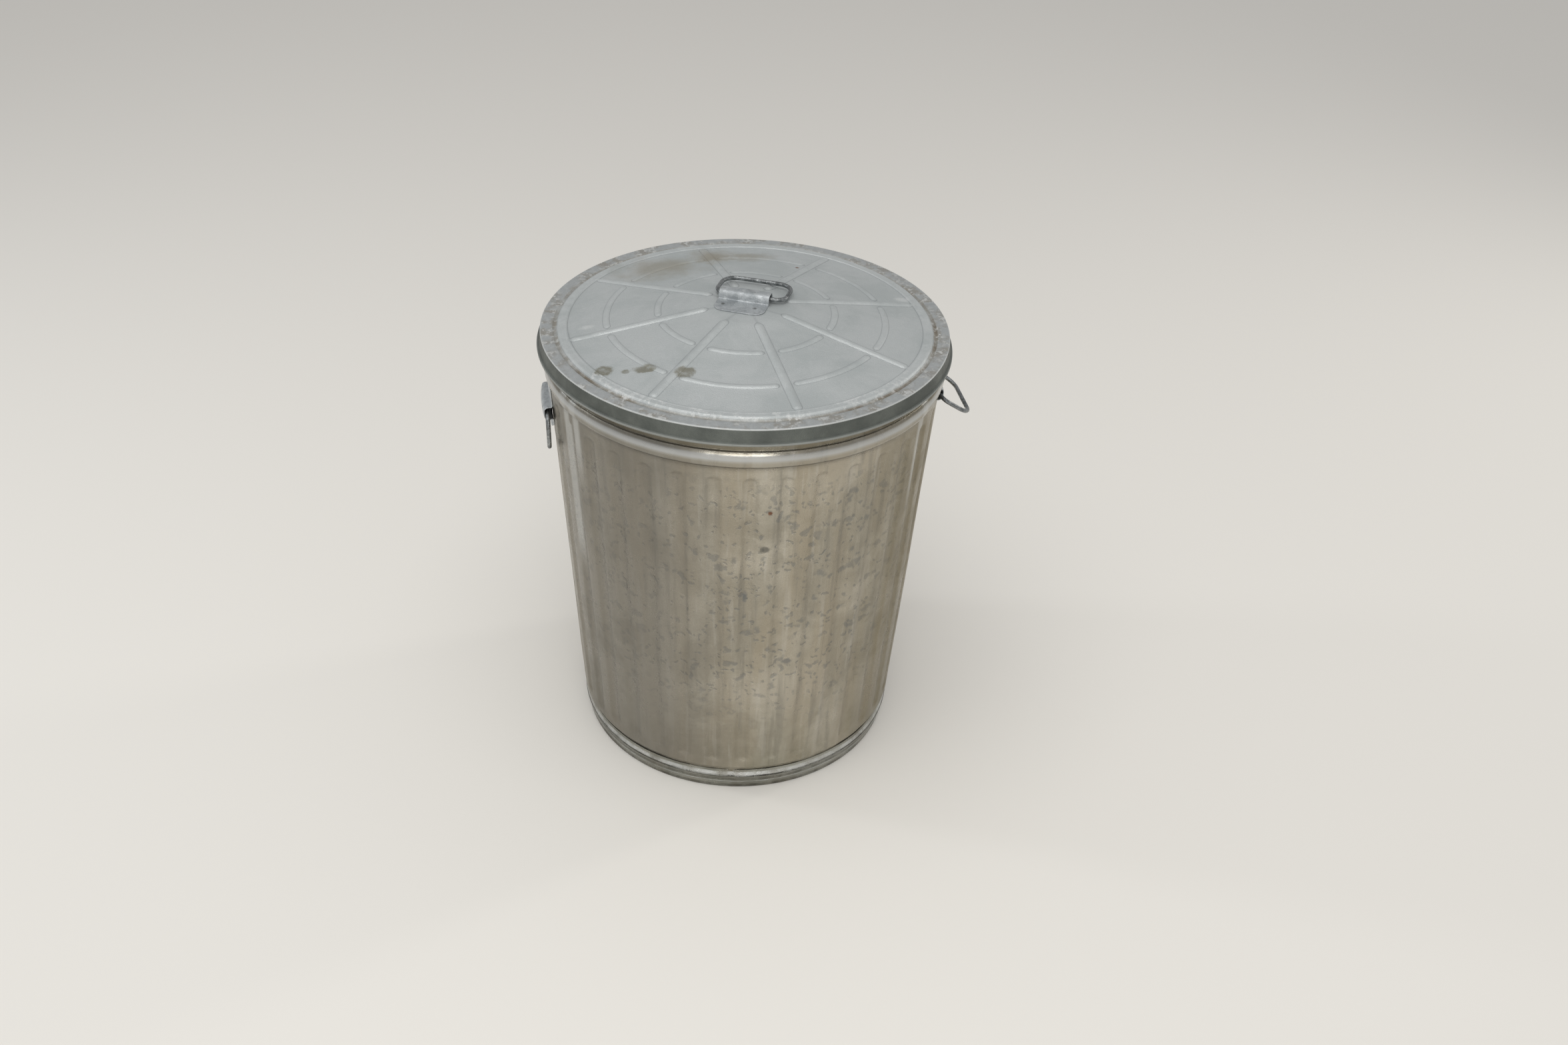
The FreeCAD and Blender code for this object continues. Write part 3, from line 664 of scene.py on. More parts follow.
def bail_mesh(name, sizes, node, joint):
    """Wire bail: a circle carried along a rounded rectangle that lies in the plane of the solid's bail.

    The rectangle is drawn from its bar's middle, which the joint gives, towards the middle of the
    solid's box. Its corners are quarter circles. The circle's plane holds the way across the path
    in the rectangle's plane, and the normal of that plane.
    """
    z = sizes
    half, depth, corner, far = z.bail_width / 2, z.bail_depth, z.bail_corner, z.bail_far_corner
    bend = np.linspace(0, np.pi / 2, 10)
    lower = np.stack([half - corner + corner * np.sin(bend), corner - corner * np.cos(bend)], -1)
    upper = np.stack([half - far + far * np.cos(bend), depth - far + far * np.sin(bend)], -1)
    side = np.linspace(corner, depth - far, 5)[1:-1]
    bar = np.array([[z.wire_gap / 2, 0], [z.wire_gap / 2 + 0.2 * MM, 0], [12 * MM, 0], [20 * MM, 0]])
    right = np.vstack([bar, lower, np.stack([half + 0 * side, side], -1), upper, [[8 * MM, depth]]])
    line = np.vstack([right, (right * (-1, 1))[::-1]])
    bow = 0.5 * MM * np.sin(np.pi * np.clip(line[:, 1] / depth, 0, 1))
    line[:, 0] += np.sign(line[:, 0]) * bow
    way = headings(line)
    thickness = np.full(len(line), z.wire_radius)
    thickness[[0, -1]] -= 0.3 * MM
    across = thickness[:, None] * np.cos(full_turn(20))
    out = thickness[:, None] * np.sin(full_turn(20))
    flat_x = line[:, :1] + way[:, 1:] * across
    flat_y = line[:, 1:] - way[:, :1] * across
    pivot = np.array(joint["pos_m"])
    bar_way = np.array(joint["axis"], float)
    low, high = (np.array(point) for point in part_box(node))
    grip = (low + high) / 2 - pivot
    grip -= grip @ bar_way * bar_way
    grip /= np.linalg.norm(grip)
    upright = np.cross(bar_way, grip)
    points = pivot + flat_x[..., None] * bar_way + flat_y[..., None] * grip + out[..., None] * upright
    return shell_mesh(name, points, "pole")


# Finishes


class Value:
    """A shader node's output, which adds, subtracts and multiplies as a number does, by Math nodes."""

    def __init__(self, socket):
        self.socket = socket
        self.tree = socket.id_data

    def __add__(self, other):
        return reckon("ADD", self, other)

    def __radd__(self, other):
        return reckon("ADD", other, self)

    def __sub__(self, other):
        return reckon("SUBTRACT", self, other)

    def __rsub__(self, other):
        return reckon("SUBTRACT", other, self)

    def __mul__(self, other):
        return reckon("MULTIPLY", self, other)


def put(tree, kind, inputs=None, **settings):
    """Add a node with its settings, and set or link its inputs, given by name or number."""
    node = tree.nodes.new(kind)
    for key, value in settings.items():
        setattr(node, key, value)
    for key, value in (inputs or {}).items():
        if isinstance(value, Value):
            tree.links.new(value.socket, node.inputs[key])
        else:
            node.inputs[key].default_value = value
    return node.outputs


def reckon(operation, *values, kind="ShaderNodeMath", output=0):
    """One step of arithmetic, on numbers or, with another kind of node, on places."""
    tree = next(value.tree for value in values if isinstance(value, Value))
    return Value(put(tree, kind, dict(enumerate(values)), operation=operation)[output])


def larger(first, second):
    """The larger of two values."""
    return reckon("MAXIMUM", first, second)


def spread(value, low, high, to_low=0.0, to_high=1.0):
    """A value eased from one range into another, by 3t^2 - 2t^3 of its share t of the way."""
    inputs = {"Value": value, "From Min": low, "From Max": high, "To Min": to_low, "To Max": to_high}
    return Value(put(value.tree, "ShaderNodeMapRange", inputs, interpolation_type="SMOOTHSTEP")[0])


def blend(share, first, second):
    """Two colours mixed: (1 - share) first + share second."""
    return Value(put(share.tree, "ShaderNodeMix", {0: share, 6: first, 7: second}, data_type="RGBA")[2])


def grain(place, scale, detail=4.0, roughness=0.5, distortion=0.0, output=0):
    """Fractal noise, or with the output Color three noises at once."""
    inputs = {"Vector": place, "Scale": scale, "Detail": detail, "Roughness": roughness, "Distortion": distortion}
    return Value(put(place.tree, "ShaderNodeTexNoise", inputs)[output])


def stretched(place, *factors):
    """A place scaled by its own factor on each axis."""
    return reckon("MULTIPLY", place, factors, kind="ShaderNodeVectorMath")


def size_of(place):
    """Distance of a place from the origin."""
    return reckon("LENGTH", place, kind="ShaderNodeVectorMath", output="Value")


def bent_cells(place, warp_scale, warp_detail, pull, scale, channel):
    """Cells whose borders noise has bent: a random number for each, and the distance to its middle."""
    shift = grain(place, warp_scale, warp_detail, output="Color")
    bent = reckon("MULTIPLY_ADD", shift, pull, place, kind="ShaderNodeVectorMath")
    cells = put(place.tree, "ShaderNodeTexVoronoi", {"Vector": bent, "Scale": scale})
    lucky = put(place.tree, "ShaderNodeSeparateColor", {0: Value(cells["Color"])})[channel]
    return Value(lucky), Value(cells["Distance"])


def node_group(build):
    """Turn a function of shader values into a node group, built once and placed by every call.

    The function's arguments are the group's inputs, with their kinds as annotations. What it
    returns are the outputs by name, and a call gives them in that order, or the only one itself.
    """

    def build_group():
        tree = bpy.data.node_groups.new(build.__name__, "ShaderNodeTree")
        for key, kind in build.__annotations__.items():
            label = key.replace("_", " ").capitalize()
            tree.interface.new_socket(name=label, in_out="INPUT", socket_type=f"NodeSocket{kind}")
        source = tree.nodes.new("NodeGroupInput").outputs
        results = build(*(Value(source[number]) for number in range(len(build.__annotations__))))
        for label, result in results.items():
            kind = {"VALUE": "Float", "RGBA": "Color"}[result.socket.type]
            tree.interface.new_socket(name=label, in_out="OUTPUT", socket_type=f"NodeSocket{kind}")
        sink = tree.nodes.new("NodeGroupOutput").inputs
        for socket, result in zip(sink, results.values()):
            tree.links.new(result.socket, socket)
        return tree

    def placed(place, *values):
        tree = bpy.data.node_groups.get(build.__name__) or build_group()
        outputs = put(place.tree, "ShaderNodeGroup", node_tree=tree)
        for socket, value in zip(outputs[0].node.inputs, (place, *values)):
            if isinstance(value, Value):
                place.tree.links.new(value.socket, socket)
            else:
                socket.default_value = value
        results = [Value(socket) for socket in outputs]
        return results if len(results) > 1 else results[0]

    return placed


@node_group
def ragged_patch(place: "Vector", centre: "Vector", reach: "Vector", scale: "Float", ragged: "Float", core: "Float"):
    """Mask of one ragged patch: how far a place lies inside an ellipsoid, with noise on its edge."""
    offset = reckon("SUBTRACT", place, centre, kind="ShaderNodeVectorMath")
    far = size_of(reckon("DIVIDE", offset, reach, kind="ShaderNodeVectorMath"))
    noise = grain(place, scale, 5, 0.6) - 0.5
    return {"Mask": spread(far + noise * ragged, 1.0, core)}


@node_group
def soft_band(value: "Float", middle: "Float", half: "Float", soft: "Float"):
    """Mask of a band of values round a middle, with soft edges."""
    return {"Mask": spread(reckon("ABSOLUTE", value - middle), half + soft, half)}


@node_group
def round_the_can(place: "Vector"):
    """Radius, angle and height of a place round the can's axis."""
    x, y, z = (Value(socket) for socket in put(place.tree, "ShaderNodeSeparateXYZ", {0: place}))
    across = Value(put(place.tree, "ShaderNodeCombineXYZ", {0: x, 1: y})[0])
    return {"Radius": size_of(across), "Angle": reckon("ARCTAN2", y, x), "Height": z}


@node_group
def zinc_coat(place: "Vector", light: "Color", dark: "Color", cloud_scale: "Float", crystal_scale: "Float",
              crystals: "Float"):
    """Zinc coat: cloudy mottle, faint crystal facets and pinhole grain."""
    cloud = grain(place, cloud_scale, 6, 0.62, 0.4)
    facet, _ = bent_cells(place, 60.0, 2.0, (0.02, 0.02, 0.02), crystal_scale, 0)
    fine = grain(place, 420.0, 3, 0.6)
    share = spread(spread(cloud, 0.32, 0.68) + facet * crystals + fine * 0.22, 0.05, 1.25)
    pits = spread(grain(place, 900.0, 2, 0.5), 0.35, 0.6)
    return {
        "Colour": blend(share, dark, light),
        "Height": pits * 0.25 + cloud * 0.75,
        "Roughness": 0.56 - share * 0.22,
    }


@node_group
def fine_scratches(place: "Vector", amount: "Float"):
    """Scratches: two sets of fine stretched noise, kept only in their highest parts."""
    first = grain(stretched(place, 34, 210, 120), 6.0, 3, 0.65, 0.6)
    second = grain(stretched(place, 240, 40, 60), 5.0, 3, 0.65, 0.8)
    low = 0.86 - amount * 0.2
    return {"Mask": spread(larger(first, second), low, low + 0.07)}


@node_group
def small_knocks(place: "Vector", scale: "Float", size: "Float", rarity: "Float"):
    """Small knocks: round dimples and crescents where noisy cells come closest to their middles."""
    lucky, distance = bent_cells(place, 70.0, 4.0, (0.034, 0.034, 0.022), scale, 1)
    return {"Mask": spread(distance, size, size * 0.45) * spread(lucky, rarity, rarity + 0.08)}


def arcs(angle, soft, *spans):
    """Mask of some arcs, each given by its two ends in degrees, with soft ends."""
    shown = 0.0
    for first, last in spans:
        middle, half = math.radians((first + last) / 2 - 360), math.radians((last - first) / 2)
        shown = larger(soft_band(angle, middle, half, soft), shown)
    return shown


def new_material(name):
    """A new material, its tree and its shader."""
    material = bpy.data.materials.new(name)
    material.use_nodes = True
    tree = material.node_tree
    return material, tree, next(node for node in tree.nodes if node.type == "BSDF_PRINCIPLED")


class Finish:
    """A galvanized finish in the making: a coat of zinc, with what is laid over it in turn."""

    def __init__(self, name, light, dark, *zinc):
        self.material, self.tree, self.shader = new_material(name)
        self.place = Value(self.tree.nodes.new("ShaderNodeTexCoord").outputs["Object"])
        self.coat, self.height, self.roughness = zinc_coat(self.place, light, dark, *zinc)

    def mark(self, name):
        """What the mesh says about a point."""
        return Value(put(self.tree, "ShaderNodeAttribute", attribute_name=name)["Fac"])

    def lay(self, share, tint):
        """Mix a colour over the coat by a share."""
        self.coat = blend(share, self.coat, tint)

    def done(self, roughness, relief, depth, metallic):
        """Feed the shader: colour, roughness, metallic and a bump of the given depth in metres."""
        self.shader.inputs["Metallic"].default_value = metallic
        bump = put(self.tree, "ShaderNodeBump", {"Strength": 1.0, "Distance": depth, "Height": relief})
        for label, socket in (("Base Color", self.coat.socket), ("Roughness", roughness.socket), ("Normal", bump[0])):
            self.tree.links.new(socket, self.shader.inputs[label])
        return self.material


def wall_finish(scene):
    """Galvanized wall: painted reflection streaks up the sheet, blue-grey knocks, painted shade on the flute flanks,
    the sides, the collar and the bead, painted highlights on crests and the bead, and darker, greener zinc towards the
    foot.
    """
    colours, sizes = scene.can_finish, scene.can_wall
    bead_top = sizes.bead_bottom + sizes.bead_width
    bead_middle = sizes.bead_bottom + sizes.bead_width / 2
    wall = Finish("wall_zinc", colours.wall_light, colours.wall_dark, 9.0, 85.0, 0.22)
    place = wall.place
    _, angle, height = round_the_can(place)
    # Painted reflection: light and dark vertical streaks stand in for the surroundings mirrored in the fluted wall.
    broad = grain(stretched(place, 1, 1, 0.10), 24.0, 3, 0.5)
    narrow = grain(stretched(place, 1, 1, 0.05), 95.0, 3, 0.55)
    wall.lay(spread(broad, 0.40, 0.64, 0.0, 0.65), linear(168, 158, 139))
    wall.lay(spread(narrow, 0.54, 0.70, 0.0, 0.36), linear(200, 196, 186))
    wall.lay(spread(narrow, 0.47, 0.30, 0.0, 0.42), linear(130, 127, 119))
    # Painted shade on the flutes' sloping flanks.
    wall.lay(soft_band(wall.mark("flute"), 0.45, 0.12, 0.3) * 0.07, linear(112, 107, 94))
    knocked = larger(small_knocks(place, 58.0, 0.40, 0.40), small_knocks(place, 112.0, 0.42, 0.46))
    knocked = knocked * (spread(height, 0.06, 0.2) * spread(height, 0.5, 0.44))
    wall.lay(knocked * 0.42, colours.wall_bruise)
    # Darker and greener towards the foot, in noisy patches.
    low = spread(height, 0.16, 0.03) * spread(grain(place, 16.0, 5, 0.6), 0.3, 0.7)
    wall.lay(low * 0.5, linear(124, 122, 104))
    # Painted shade darkening the left and right sides: middle in degrees, softness, strength and colour
    for middle, soft, strength, tint in (
        (-145, 0.7, 0.72, linear(124, 121, 114)),
        (-22, 0.5, 0.7, linear(128, 119, 97)),
    ):
        wall.lay(soft_band(angle, math.radians(middle), 0.25, soft) * strength, tint)
    # Painted highlights, bright vertical streaks in the worn zinc colour: middle in degrees and lower end
    for middle, low_end in ((-152.5, 0.44), (-39.0, 0.40), (-158.0, 0.30)):
        tall = spread(height, low_end - 0.04, low_end + 0.03) * 0.5
        wall.lay(soft_band(angle, math.radians(middle), 0.012, 0.03) * tall, colours.worn)
    # Painted shadow of the lid on the collar and rim above the bead.
    wall.lay(spread(height, bead_top - 1.5 * MM, bead_top + 1.5 * MM) * 0.6, linear(98, 93, 76))
    # Single knocks: centre, reach, strength and colour
    for centre, reach, strength, tint in (
        ((-0.0037, -0.2263, 0.435), (0.0035, 0.004, 0.0035), 0.85, colours.rust),
        ((-0.0078, -0.2233, 0.385), (0.009, 0.006, 0.006), 0.7, linear(84, 84, 80)),
        ((-0.0268, -0.2180, 0.315), (0.0045, 0.006, 0.013), 0.7, colours.wall_bruise),
        ((0.0260, -0.2116, 0.213), (0.007, 0.006, 0.006), 0.6, colours.wall_bruise),
    ):
        wall.lay(ragged_patch(place, centre, reach, 240.0, 0.9, 0.4) * strength, tint)
    wall.lay(wall.mark("inside") * 0.75, linear(170, 171, 168))
    wall.lay(fine_scratches(place, 0.35) * 0.4, colours.chalk)
    bead = soft_band(height, bead_middle, 8 * MM, 2 * MM)
    # Painted highlight across the bead's middle.
    wall.lay(soft_band(height, bead_middle, 1.5 * MM, 3 * MM) * 0.35, colours.worn)
    # Painted shade along the bead's lower edge.
    wall.lay(soft_band(height, sizes.bead_bottom - 0.5 * MM, 0.4 * MM, 1.2 * MM) * 0.6, linear(66, 64, 56))
    # The bead greyer, partly as painted shade from the lid.
    wall.lay(bead * 0.35, linear(146, 144, 136))
    # Painted reflection: a bluish-white line just above the bead's middle.
    wall.lay(soft_band(height, bead_middle + 2.6 * MM, 2 * MM, 2.8 * MM) * 0.55, linear(192, 196, 200))
    rough = wall.roughness - (0.10 + bead * 0.10) + low * 0.15
    relief = (wall.height - knocked * 0.6 + narrow * 0.35) * (1.0 - bead * 0.8)
    return wall.done(rough, relief, 0.5 * MM, 0.9)


def lid_finish(scene):
    """Galvanized lid: cloudy zinc, rubbed ribs and edge, chalky band, dirty groove, stains and rust, with painted
    shade on the flat edge, at the ribs' feet and on the skirt, and painted highlights on the top corner and the curl.
    """
    colours, sizes = scene.can_finish, scene.can_lid
    groove_middle = sizes.radius - sizes.edge_width - sizes.groove_width / 2
    swage_middle = groove_middle - sizes.groove_width / 2 - sizes.swage_width / 2
    lid = Finish("lid_zinc", colours.lid_light, colours.lid_dark, 11.0, 70.0, 0.18)
    place = lid.place
    radius, angle, height = round_the_can(place)
    upward = spread(height, sizes.top - 3 * MM, sizes.top - 1.5 * MM)
    patchy = grain(place, 48.0, 5, 0.65)
    flaky = spread(grain(place, 130.0, 6, 0.7), 0.5, 0.58)
    crest = lid.mark("crest")
    # Painted shade: the flat edge is made darker to stand for its dull reflection.
    lid.lay(soft_band(radius, sizes.radius - sizes.edge_width / 2, 5.5 * MM, 2 * MM) * 0.55, linear(156, 160, 163))
    lid.lay(spread(crest, 0.35, 1.0) * spread(patchy, 0.42, 0.6) * 0.22, colours.chalk)
    # Painted shade: dark outlines at the feet of the ribs.
    lid.lay(soft_band(crest, 0.16, 0.05, 0.10) * 0.45, linear(122, 126, 128))
    bloom = arcs(angle, 0.12, (249, 276), (291, 316), (213, 236))
    chalky = soft_band(radius, swage_middle, 4.5 * MM, 3 * MM) * flaky * spread(bloom, 0, 1, 0.12, 0.62)
    lid.lay(chalky, colours.worn)
    groove = soft_band(radius, groove_middle, 1.4 * MM, 1.6 * MM)
    settled = spread(grain(place, 30.0, 4, 0.6), 0.3, 0.62, 0.25, 0.85)
    dirty = arcs(angle, 0.15, (281, 326), (201, 226), (341, 354))
    lid.lay(groove * settled * spread(dirty, 0, 1, 0.5, 0.95) * upward, colours.dirt)
    # Brown washes: centre, reach and strength
    for centre, reach, strength in (
        ((-0.0860, 0.1400, 0.555), (0.076, 0.052, 0.05), 0.46),
        ((-0.0180, 0.1720, 0.555), (0.040, 0.040, 0.05), 0.58),
        ((0.0320, 0.1640, 0.555), (0.044, 0.024, 0.05), 0.42),
    ):
        lid.lay(ragged_patch(place, centre, reach, 36.0, 1.3, 0.1) * strength, linear(136, 124, 98))
    rim = soft_band(radius, sizes.radius - 9.5 * MM, 8 * MM, 3 * MM) * upward * spread(patchy, 0.45, 0.62, 0.1, 0.6)
    lid.lay(rim, linear(138, 130, 116))
    lid.lay(rim * 1.2 * flaky, colours.worn)
    stained = 0.0
    # Olive stains: centre, reach, strength, scale of the ragged edge and how ragged it is
    for centre, reach, strength, scale, ragged in (
        ((-0.1711, -0.1025, 0.550), (0.0125, 0.0115, 0.03), 0.72, 150.0, 0.8),
        ((-0.1479, -0.1092, 0.550), (0.0055, 0.0050, 0.03), 0.60, 220.0, 0.7),
        ((-0.1257, -0.1097, 0.553), (0.0165, 0.0085, 0.03), 0.70, 130.0, 1.0),
        ((-0.0846, -0.1253, 0.555), (0.0135, 0.0125, 0.03), 0.70, 140.0, 0.9),
    ):
        stained = larger(ragged_patch(place, centre, reach, scale, ragged, 0.6) * strength, stained)
    stained = stained * spread(grain(place, 90.0, 5, 0.7), 0.25, 0.55, 0.35, 1.0)
    lid.lay(stained, colours.olive)
    # A rust spot and two rubbed places: centre, reach, strength and colour
    for centre, reach, strength, tint in (
        ((0.0814, 0.1238, 0.560), (0.0032, 0.0032, 0.03), 0.8, colours.rust),
        ((-0.1825, -0.0015, 0.553), (0.012, 0.006, 0.03), 0.5, colours.worn),
        ((0.1947, 0.0400, 0.550), (0.012, 0.008, 0.03), 0.5, colours.worn),
    ):
        lid.lay(ragged_patch(place, centre, reach, 200.0, 1.0, 0.3) * strength, tint)
    scratches = fine_scratches(place, 0.5)
    lid.lay(scratches * 0.35, colours.chalk)
    # Painted shade: the skirt below the flat edge is painted dark, in mottled patches.
    outside = spread(radius, sizes.radius - 1.5 * MM, sizes.radius - 0.5 * MM)
    skirt = blend(spread(grain(place, 26.0, 5, 0.6), 0.35, 0.7), colours.lid_skirt_shade, linear(104, 108, 103))
    lid.lay(outside * spread(height, sizes.top - 0.8 * MM, sizes.top - 1.8 * MM), skirt)
    # The lid's top corner: rubbed zinc with a painted highlight, as a thin bright band.
    corner = soft_band(height, sizes.top - 0.9 * MM, 0.3 * MM, 0.7 * MM)
    lid.lay(corner * spread(radius, sizes.radius - 2 * MM, sizes.radius - 1 * MM) * 0.55, colours.worn)
    # Painted highlight on the curl at the skirt's lower edge.
    lid.lay(spread(height, sizes.skirt_end + 3.4 * MM, sizes.skirt_end + 2.2 * MM) * 0.6, linear(166, 168, 164))
    relief = lid.height + chalky * 0.2 - scratches * 0.1
    return lid.done(lid.roughness + (0.08 + stained * 0.15), relief, 0.5 * MM, 0.5)


def hoop_finish(scene):
    """Galvanized hoop: painted highlights on the bead and the crease, painted shade under the bead and on the lip at
    the floor, and dirt.
    """
    colours = scene.can_finish
    hoop = Finish("hoop_zinc", linear(164, 164, 156), linear(128, 128, 119), 14.0, 90.0, 0.2)
    place = hoop.place
    _, _, height = round_the_can(place)
    patchy = spread(grain(place, 60.0, 5, 0.65), 0.35, 0.6, 0.3, 1.0)
    # Bands of painted light and shade: a painted highlight on the bead, a painted highlight on the crease, painted
    # shade under the bead and painted shade on the lip at the floor; height, half width and softness in millimetres,
    # strength and colour
    for middle, half, soft, strength, tint in (
        (24.5, 1.6, 2.2, 0.8, colours.worn),
        (10.2, 0.4, 1.0, 0.55, colours.chalk),
        (14.0, 1.6, 2.0, 0.55, linear(72, 72, 64)),
        (2.0, 2.0, 3.0, 0.65, linear(62, 60, 52)),
    ):
        hoop.lay(soft_band(height, middle * MM, half * MM, soft * MM) * patchy * strength, tint)
    hoop.lay(spread(grain(place, 22.0, 5, 0.6), 0.42, 0.66, 0.0, 0.5) * 0.5, colours.dirt)
    hoop.lay(fine_scratches(place, 0.6) * 0.4, colours.chalk)
    return hoop.done(hoop.roughness - 0.16, hoop.height, 0.5 * MM, 0.9)


def plate_finish(scene):
    """Galvanized plate: patchy zinc with a burnt ring round each spot weld."""
    colours = scene.can_finish
    plate = Finish("plate_zinc", colours.plate_light, colours.plate_dark, 48.0, 130.0, 0.3)
    burnt = plate.mark("weld") + grain(plate.place, 300.0, 4, 0.6) * 0.25
    drips = spread(grain(plate.place, 110.0, 5, 0.7), 0.56, 0.64)
    plate.lay(spread(burnt, 0.3, 0.8) * 0.75, colours.weld)
    plate.lay(drips * 0.5, colours.chalk)
    plate.lay(spread(grain(plate.place, 70.0, 5, 0.65), 0.42, 0.34) * 0.25, linear(110, 114, 112))
    return plate.done(plate.roughness, plate.height + drips * 0.35, 0.6 * MM, 0.75)


def wire_finish(scene):
    """Galvanized wire: dull zinc with lighter runs and worn dark stretches."""
    colours = scene.can_finish
    wire = Finish("wire_zinc", colours.wire_light, colours.wire_dark, 70.0, 160.0, 0.2)
    runs = spread(grain(wire.place, 240.0, 4, 0.65), 0.54, 0.62)
    wire.lay(runs * 0.35, colours.chalk)
    return wire.done(wire.roughness - 0.08, wire.height + runs * 0.3, 0.3 * MM, 0.88)


def finish(scene, name):
    """The named finish, made the first time that it is asked for."""
    makers = {
        "wall_zinc": wall_finish,
        "lid_zinc": lid_finish,
        "hoop_zinc": hoop_finish,
        "plate_zinc": plate_finish,
        "wire_zinc": wire_finish,
    }
    return bpy.data.materials.get(name) or makers[name](scene)


# Operators


class CAN_OT_wall(bpy.types.Operator):
    """Build the fluted shell with its bead, collar and rolled rim"""

    bl_idname = "trash_can.wall"
    bl_label = "Can Wall"

    def execute(self, context):
        scene = context.scene
        add_piece("can_wall", wall_mesh(scene.can_wall), "can", finish(scene, "wall_zinc"),
                  "body_shell")
        return {"FINISHED"}


class CAN_OT_base(bpy.types.Operator):
    """Build the base hoop and the bottom pan"""

    bl_idname = "trash_can.base"
    bl_label = "Base Hoop and Pan"

    def execute(self, context):
        scene = context.scene
        add_piece("base_hoop_formed", hoop_mesh(scene.can_base), "can",
                  finish(scene, "hoop_zinc"), "base_hoop")
        add_piece("bottom_pan_pressed", pan_mesh(scene.can_base), "can",
                  finish(scene, "wall_zinc"), "bottom_pan")
        return {"FINISHED"}


class CAN_OT_lid(bpy.types.Operator):
    """Build the ribbed lid with its raised band, groove, skirt and curl"""

    bl_idname = "trash_can.lid"
    bl_label = "Lid"

    def execute(self, context):
        scene = context.scene
        add_piece("lid_pressed", lid_mesh(scene.can_lid), "lid", finish(scene, "lid_zinc"),
                  "lid_shell")
        return {"FINISHED"}


class CAN_OT_plates(bpy.types.Operator):
    """Build the three handle plates"""

    bl_idname = "trash_can.plates"
    bl_label = "Handle Plates"

    def execute(self, context):
        scene = context.scene
        sizes, wall = scene.can_handles, scene.can_wall
        coat = finish(scene, "plate_zinc")
        for side, azimuth in (("right", 0.0), ("left", math.pi)):
            mesh = plate_mesh(f"{side}_ear", sizes, on_wall(sizes.hump_middle, wall, azimuth), sizes.lip_flare)
            add_piece(f"{side}_ear", mesh, "can", coat, f"{side}_handle_plate")
        mesh = plate_mesh("lid_ear", sizes, on_lid(sizes, scene.can_lid), 0.0)
        add_piece("lid_ear", mesh, "lid", coat, "lid_handle_plate")
        return {"FINISHED"}


class CAN_OT_bails(bpy.types.Operator):
    """Build the three wire bails"""

    bl_idname = "trash_can.bails"
    bl_label = "Wire Bails"

    def execute(self, context):
        scene = context.scene
        coat = finish(scene, "wire_zinc")
        for side in ("right", "left", "lid"):
            mesh = bail_mesh(f"{side}_wire", scene.can_handles, f"{side}_bail", JOINTS[f"{side}_bail_swing"])
            add_piece(f"{side}_wire", mesh, f"{side}_ring", coat, f"{side}_bail")
        return {"FINISHED"}


class CAN_OT_stage(bpy.types.Operator):
    """Build the floor, the lights and the camera"""

    bl_idname = "trash_can.stage"
    bl_label = "Stage"

    def execute(self, context):
        scene = context.scene
        settings = scene.can_stage
        self.add_floor(scene, settings)
        self.add_world(scene, settings)
        for lamp in LAMPS:
            self.add_lamp(scene, *lamp)
        self.add_camera(scene, settings)
        scene.view_settings.view_transform = "Standard"
        return {"FINISHED"}

    def add_floor(self, scene, settings):
        """A wide pale floor, as a square grid."""
        half_side, lines = 9, 13
        reach = np.linspace(-half_side, half_side, lines)
        x, y = np.meshgrid(reach, reach)
        points = np.stack([x, y, 0 * x], -1).reshape(-1, 3)
        index = np.arange(x.size).reshape(x.shape)
        faces = np.stack([index[:-1, :-1], index[:-1, 1:], index[1:, 1:], index[1:, :-1]], -1).reshape(-1, 4)
        mesh = bpy.data.meshes.new("floor")
        mesh.from_pydata(points, [], faces.tolist())
        material, _, shader = new_material("pale_floor")
        shader.inputs["Base Color"].default_value = settings.floor
        shader.inputs["Roughness"].default_value = 0.7
        mesh.materials.append(material)
        floor = bpy.data.objects.new("floor", mesh)
        scene.collection.objects.link(floor)

    def add_world(self, scene, settings):
        """Soft light all round, shown pale to the camera and in the metal."""
        world = bpy.data.worlds.new("studio")
        scene.world = world
        world.use_nodes = True
        tree = world.node_tree
        back = next(node for node in tree.nodes if node.type == "BACKGROUND")
        seen = tree.nodes.new("ShaderNodeLightPath").outputs
        shown = larger(Value(seen["Is Camera Ray"]), Value(seen["Is Transmission Ray"]))
        mirrored = Value(seen["Is Glossy Ray"]) * (settings.ambient - settings.mirrored)
        back.inputs["Color"].default_value = settings.backdrop
        tree.links.new(larger(settings.ambient - mirrored, shown).socket, back.inputs["Strength"])

    def add_lamp(self, scene, name, place, target, width, height, power, tint):
        """An area lamp that faces a target."""
        data = bpy.data.lights.new(name, "AREA")
        data.shape = "RECTANGLE"
        data.size, data.size_y = width, height
        data.energy = power
        data.color = tint
        lamp = bpy.data.objects.new(name, data)
        lamp.location = place
        lamp.rotation_euler = (Vector(target) - Vector(place)).to_track_quat("-Z", "Y").to_euler()
        scene.collection.objects.link(lamp)

    def add_camera(self, scene, settings):
        """The camera from its heading, dip and lean: its axes are right, up and backwards."""
        yaw, pitch, roll = settings.camera_yaw, settings.camera_pitch, settings.camera_roll
        ahead = Vector((math.sin(yaw) * math.cos(pitch), math.cos(yaw) * math.cos(pitch), -math.sin(pitch)))
        level = Vector((math.cos(yaw), -math.sin(yaw), 0))
        upright = level.cross(ahead)
        right = math.cos(roll) * level + math.sin(roll) * upright
        up = math.cos(roll) * upright - math.sin(roll) * level
        axes = Matrix((right, up, -ahead)).transposed().to_4x4()
        data = bpy.data.cameras.new("camera")
        data.sensor_width = 36
        data.lens = settings.camera_lens
        camera = bpy.data.objects.new("camera", data)
        camera.matrix_world = Matrix.Translation(settings.camera_place) @ axes
        scene.collection.objects.link(camera)
        scene.camera = camera


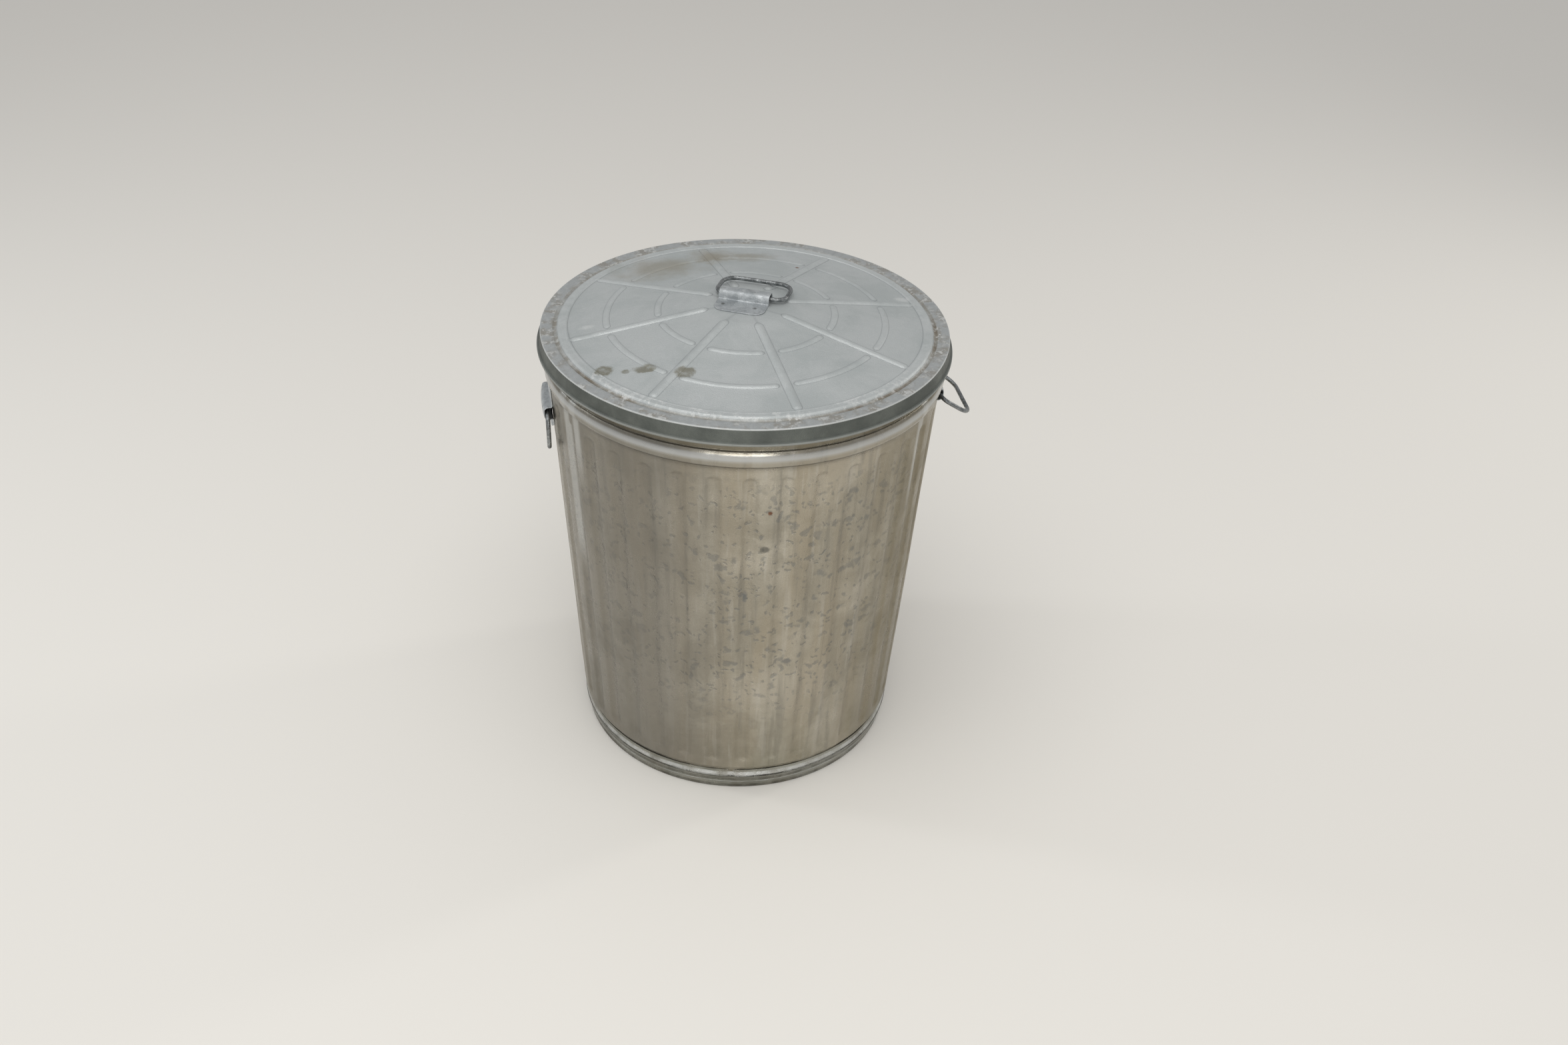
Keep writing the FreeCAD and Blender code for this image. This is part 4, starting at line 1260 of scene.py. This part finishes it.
# name, place, target, width, height, watts and colour
LAMPS = (
    ("ceiling", (-0.4, -0.9, 3.1), (0.0, -0.2, 0.4), 2.6, 2.2, 40, (1.0, 0.99, 0.97)),
    ("front", (-0.5, -3.0, 1.0), (0.0, 0.0, 0.35), 1.8, 1.2, 20, (1.0, 0.99, 0.97)),
    ("window_left", (-2.4, 0.7, 1.5), (0.0, 0.0, 0.6), 0.3, 1.3, 8, (0.95, 0.98, 1.0)),
    ("window_right", (2.5, 0.7, 1.5), (0.0, 0.0, 0.6), 0.3, 1.3, 8, (1.0, 0.98, 0.94)),
)


class CAN_PT_panel(bpy.types.Panel):
    """Buttons and settings for the trash can"""

    bl_idname = "CAN_PT_panel"
    bl_label = "Trash Can"
    bl_space_type = "VIEW_3D"
    bl_region_type = "UI"
    bl_category = "Trash Can"

    def draw(self, context):
        for operator in PIECE_OPERATORS:
            self.layout.operator(operator.bl_idname)
        for name, group_class in SETTINGS.items():
            box = self.layout.box()
            box.label(text=group_class.__doc__)
            for key in group_class.__annotations__:
                box.prop(getattr(context.scene, name), key)


PIECE_OPERATORS = (CAN_OT_wall, CAN_OT_base, CAN_OT_lid, CAN_OT_plates, CAN_OT_bails, CAN_OT_stage)


def register():
    for group_class in SETTINGS.values():
        bpy.utils.register_class(group_class)
    for operator in PIECE_OPERATORS:
        bpy.utils.register_class(operator)
    bpy.utils.register_class(CAN_PT_panel)
    for name, group_class in SETTINGS.items():
        setattr(bpy.types.Scene, name, PointerProperty(type=group_class))


def unregister():
    for name in SETTINGS:
        delattr(bpy.types.Scene, name)
    bpy.utils.unregister_class(CAN_PT_panel)
    for operator in reversed(PIECE_OPERATORS):
        bpy.utils.unregister_class(operator)
    for group_class in SETTINGS.values():
        bpy.utils.unregister_class(group_class)


def main():
    """Build every piece in order."""
    register()
    bpy.ops.trash_can.stage()
    bpy.ops.trash_can.wall()
    bpy.ops.trash_can.base()
    bpy.ops.trash_can.lid()
    bpy.ops.trash_can.plates()
    bpy.ops.trash_can.bails()


if __name__ == "__main__":
    main()
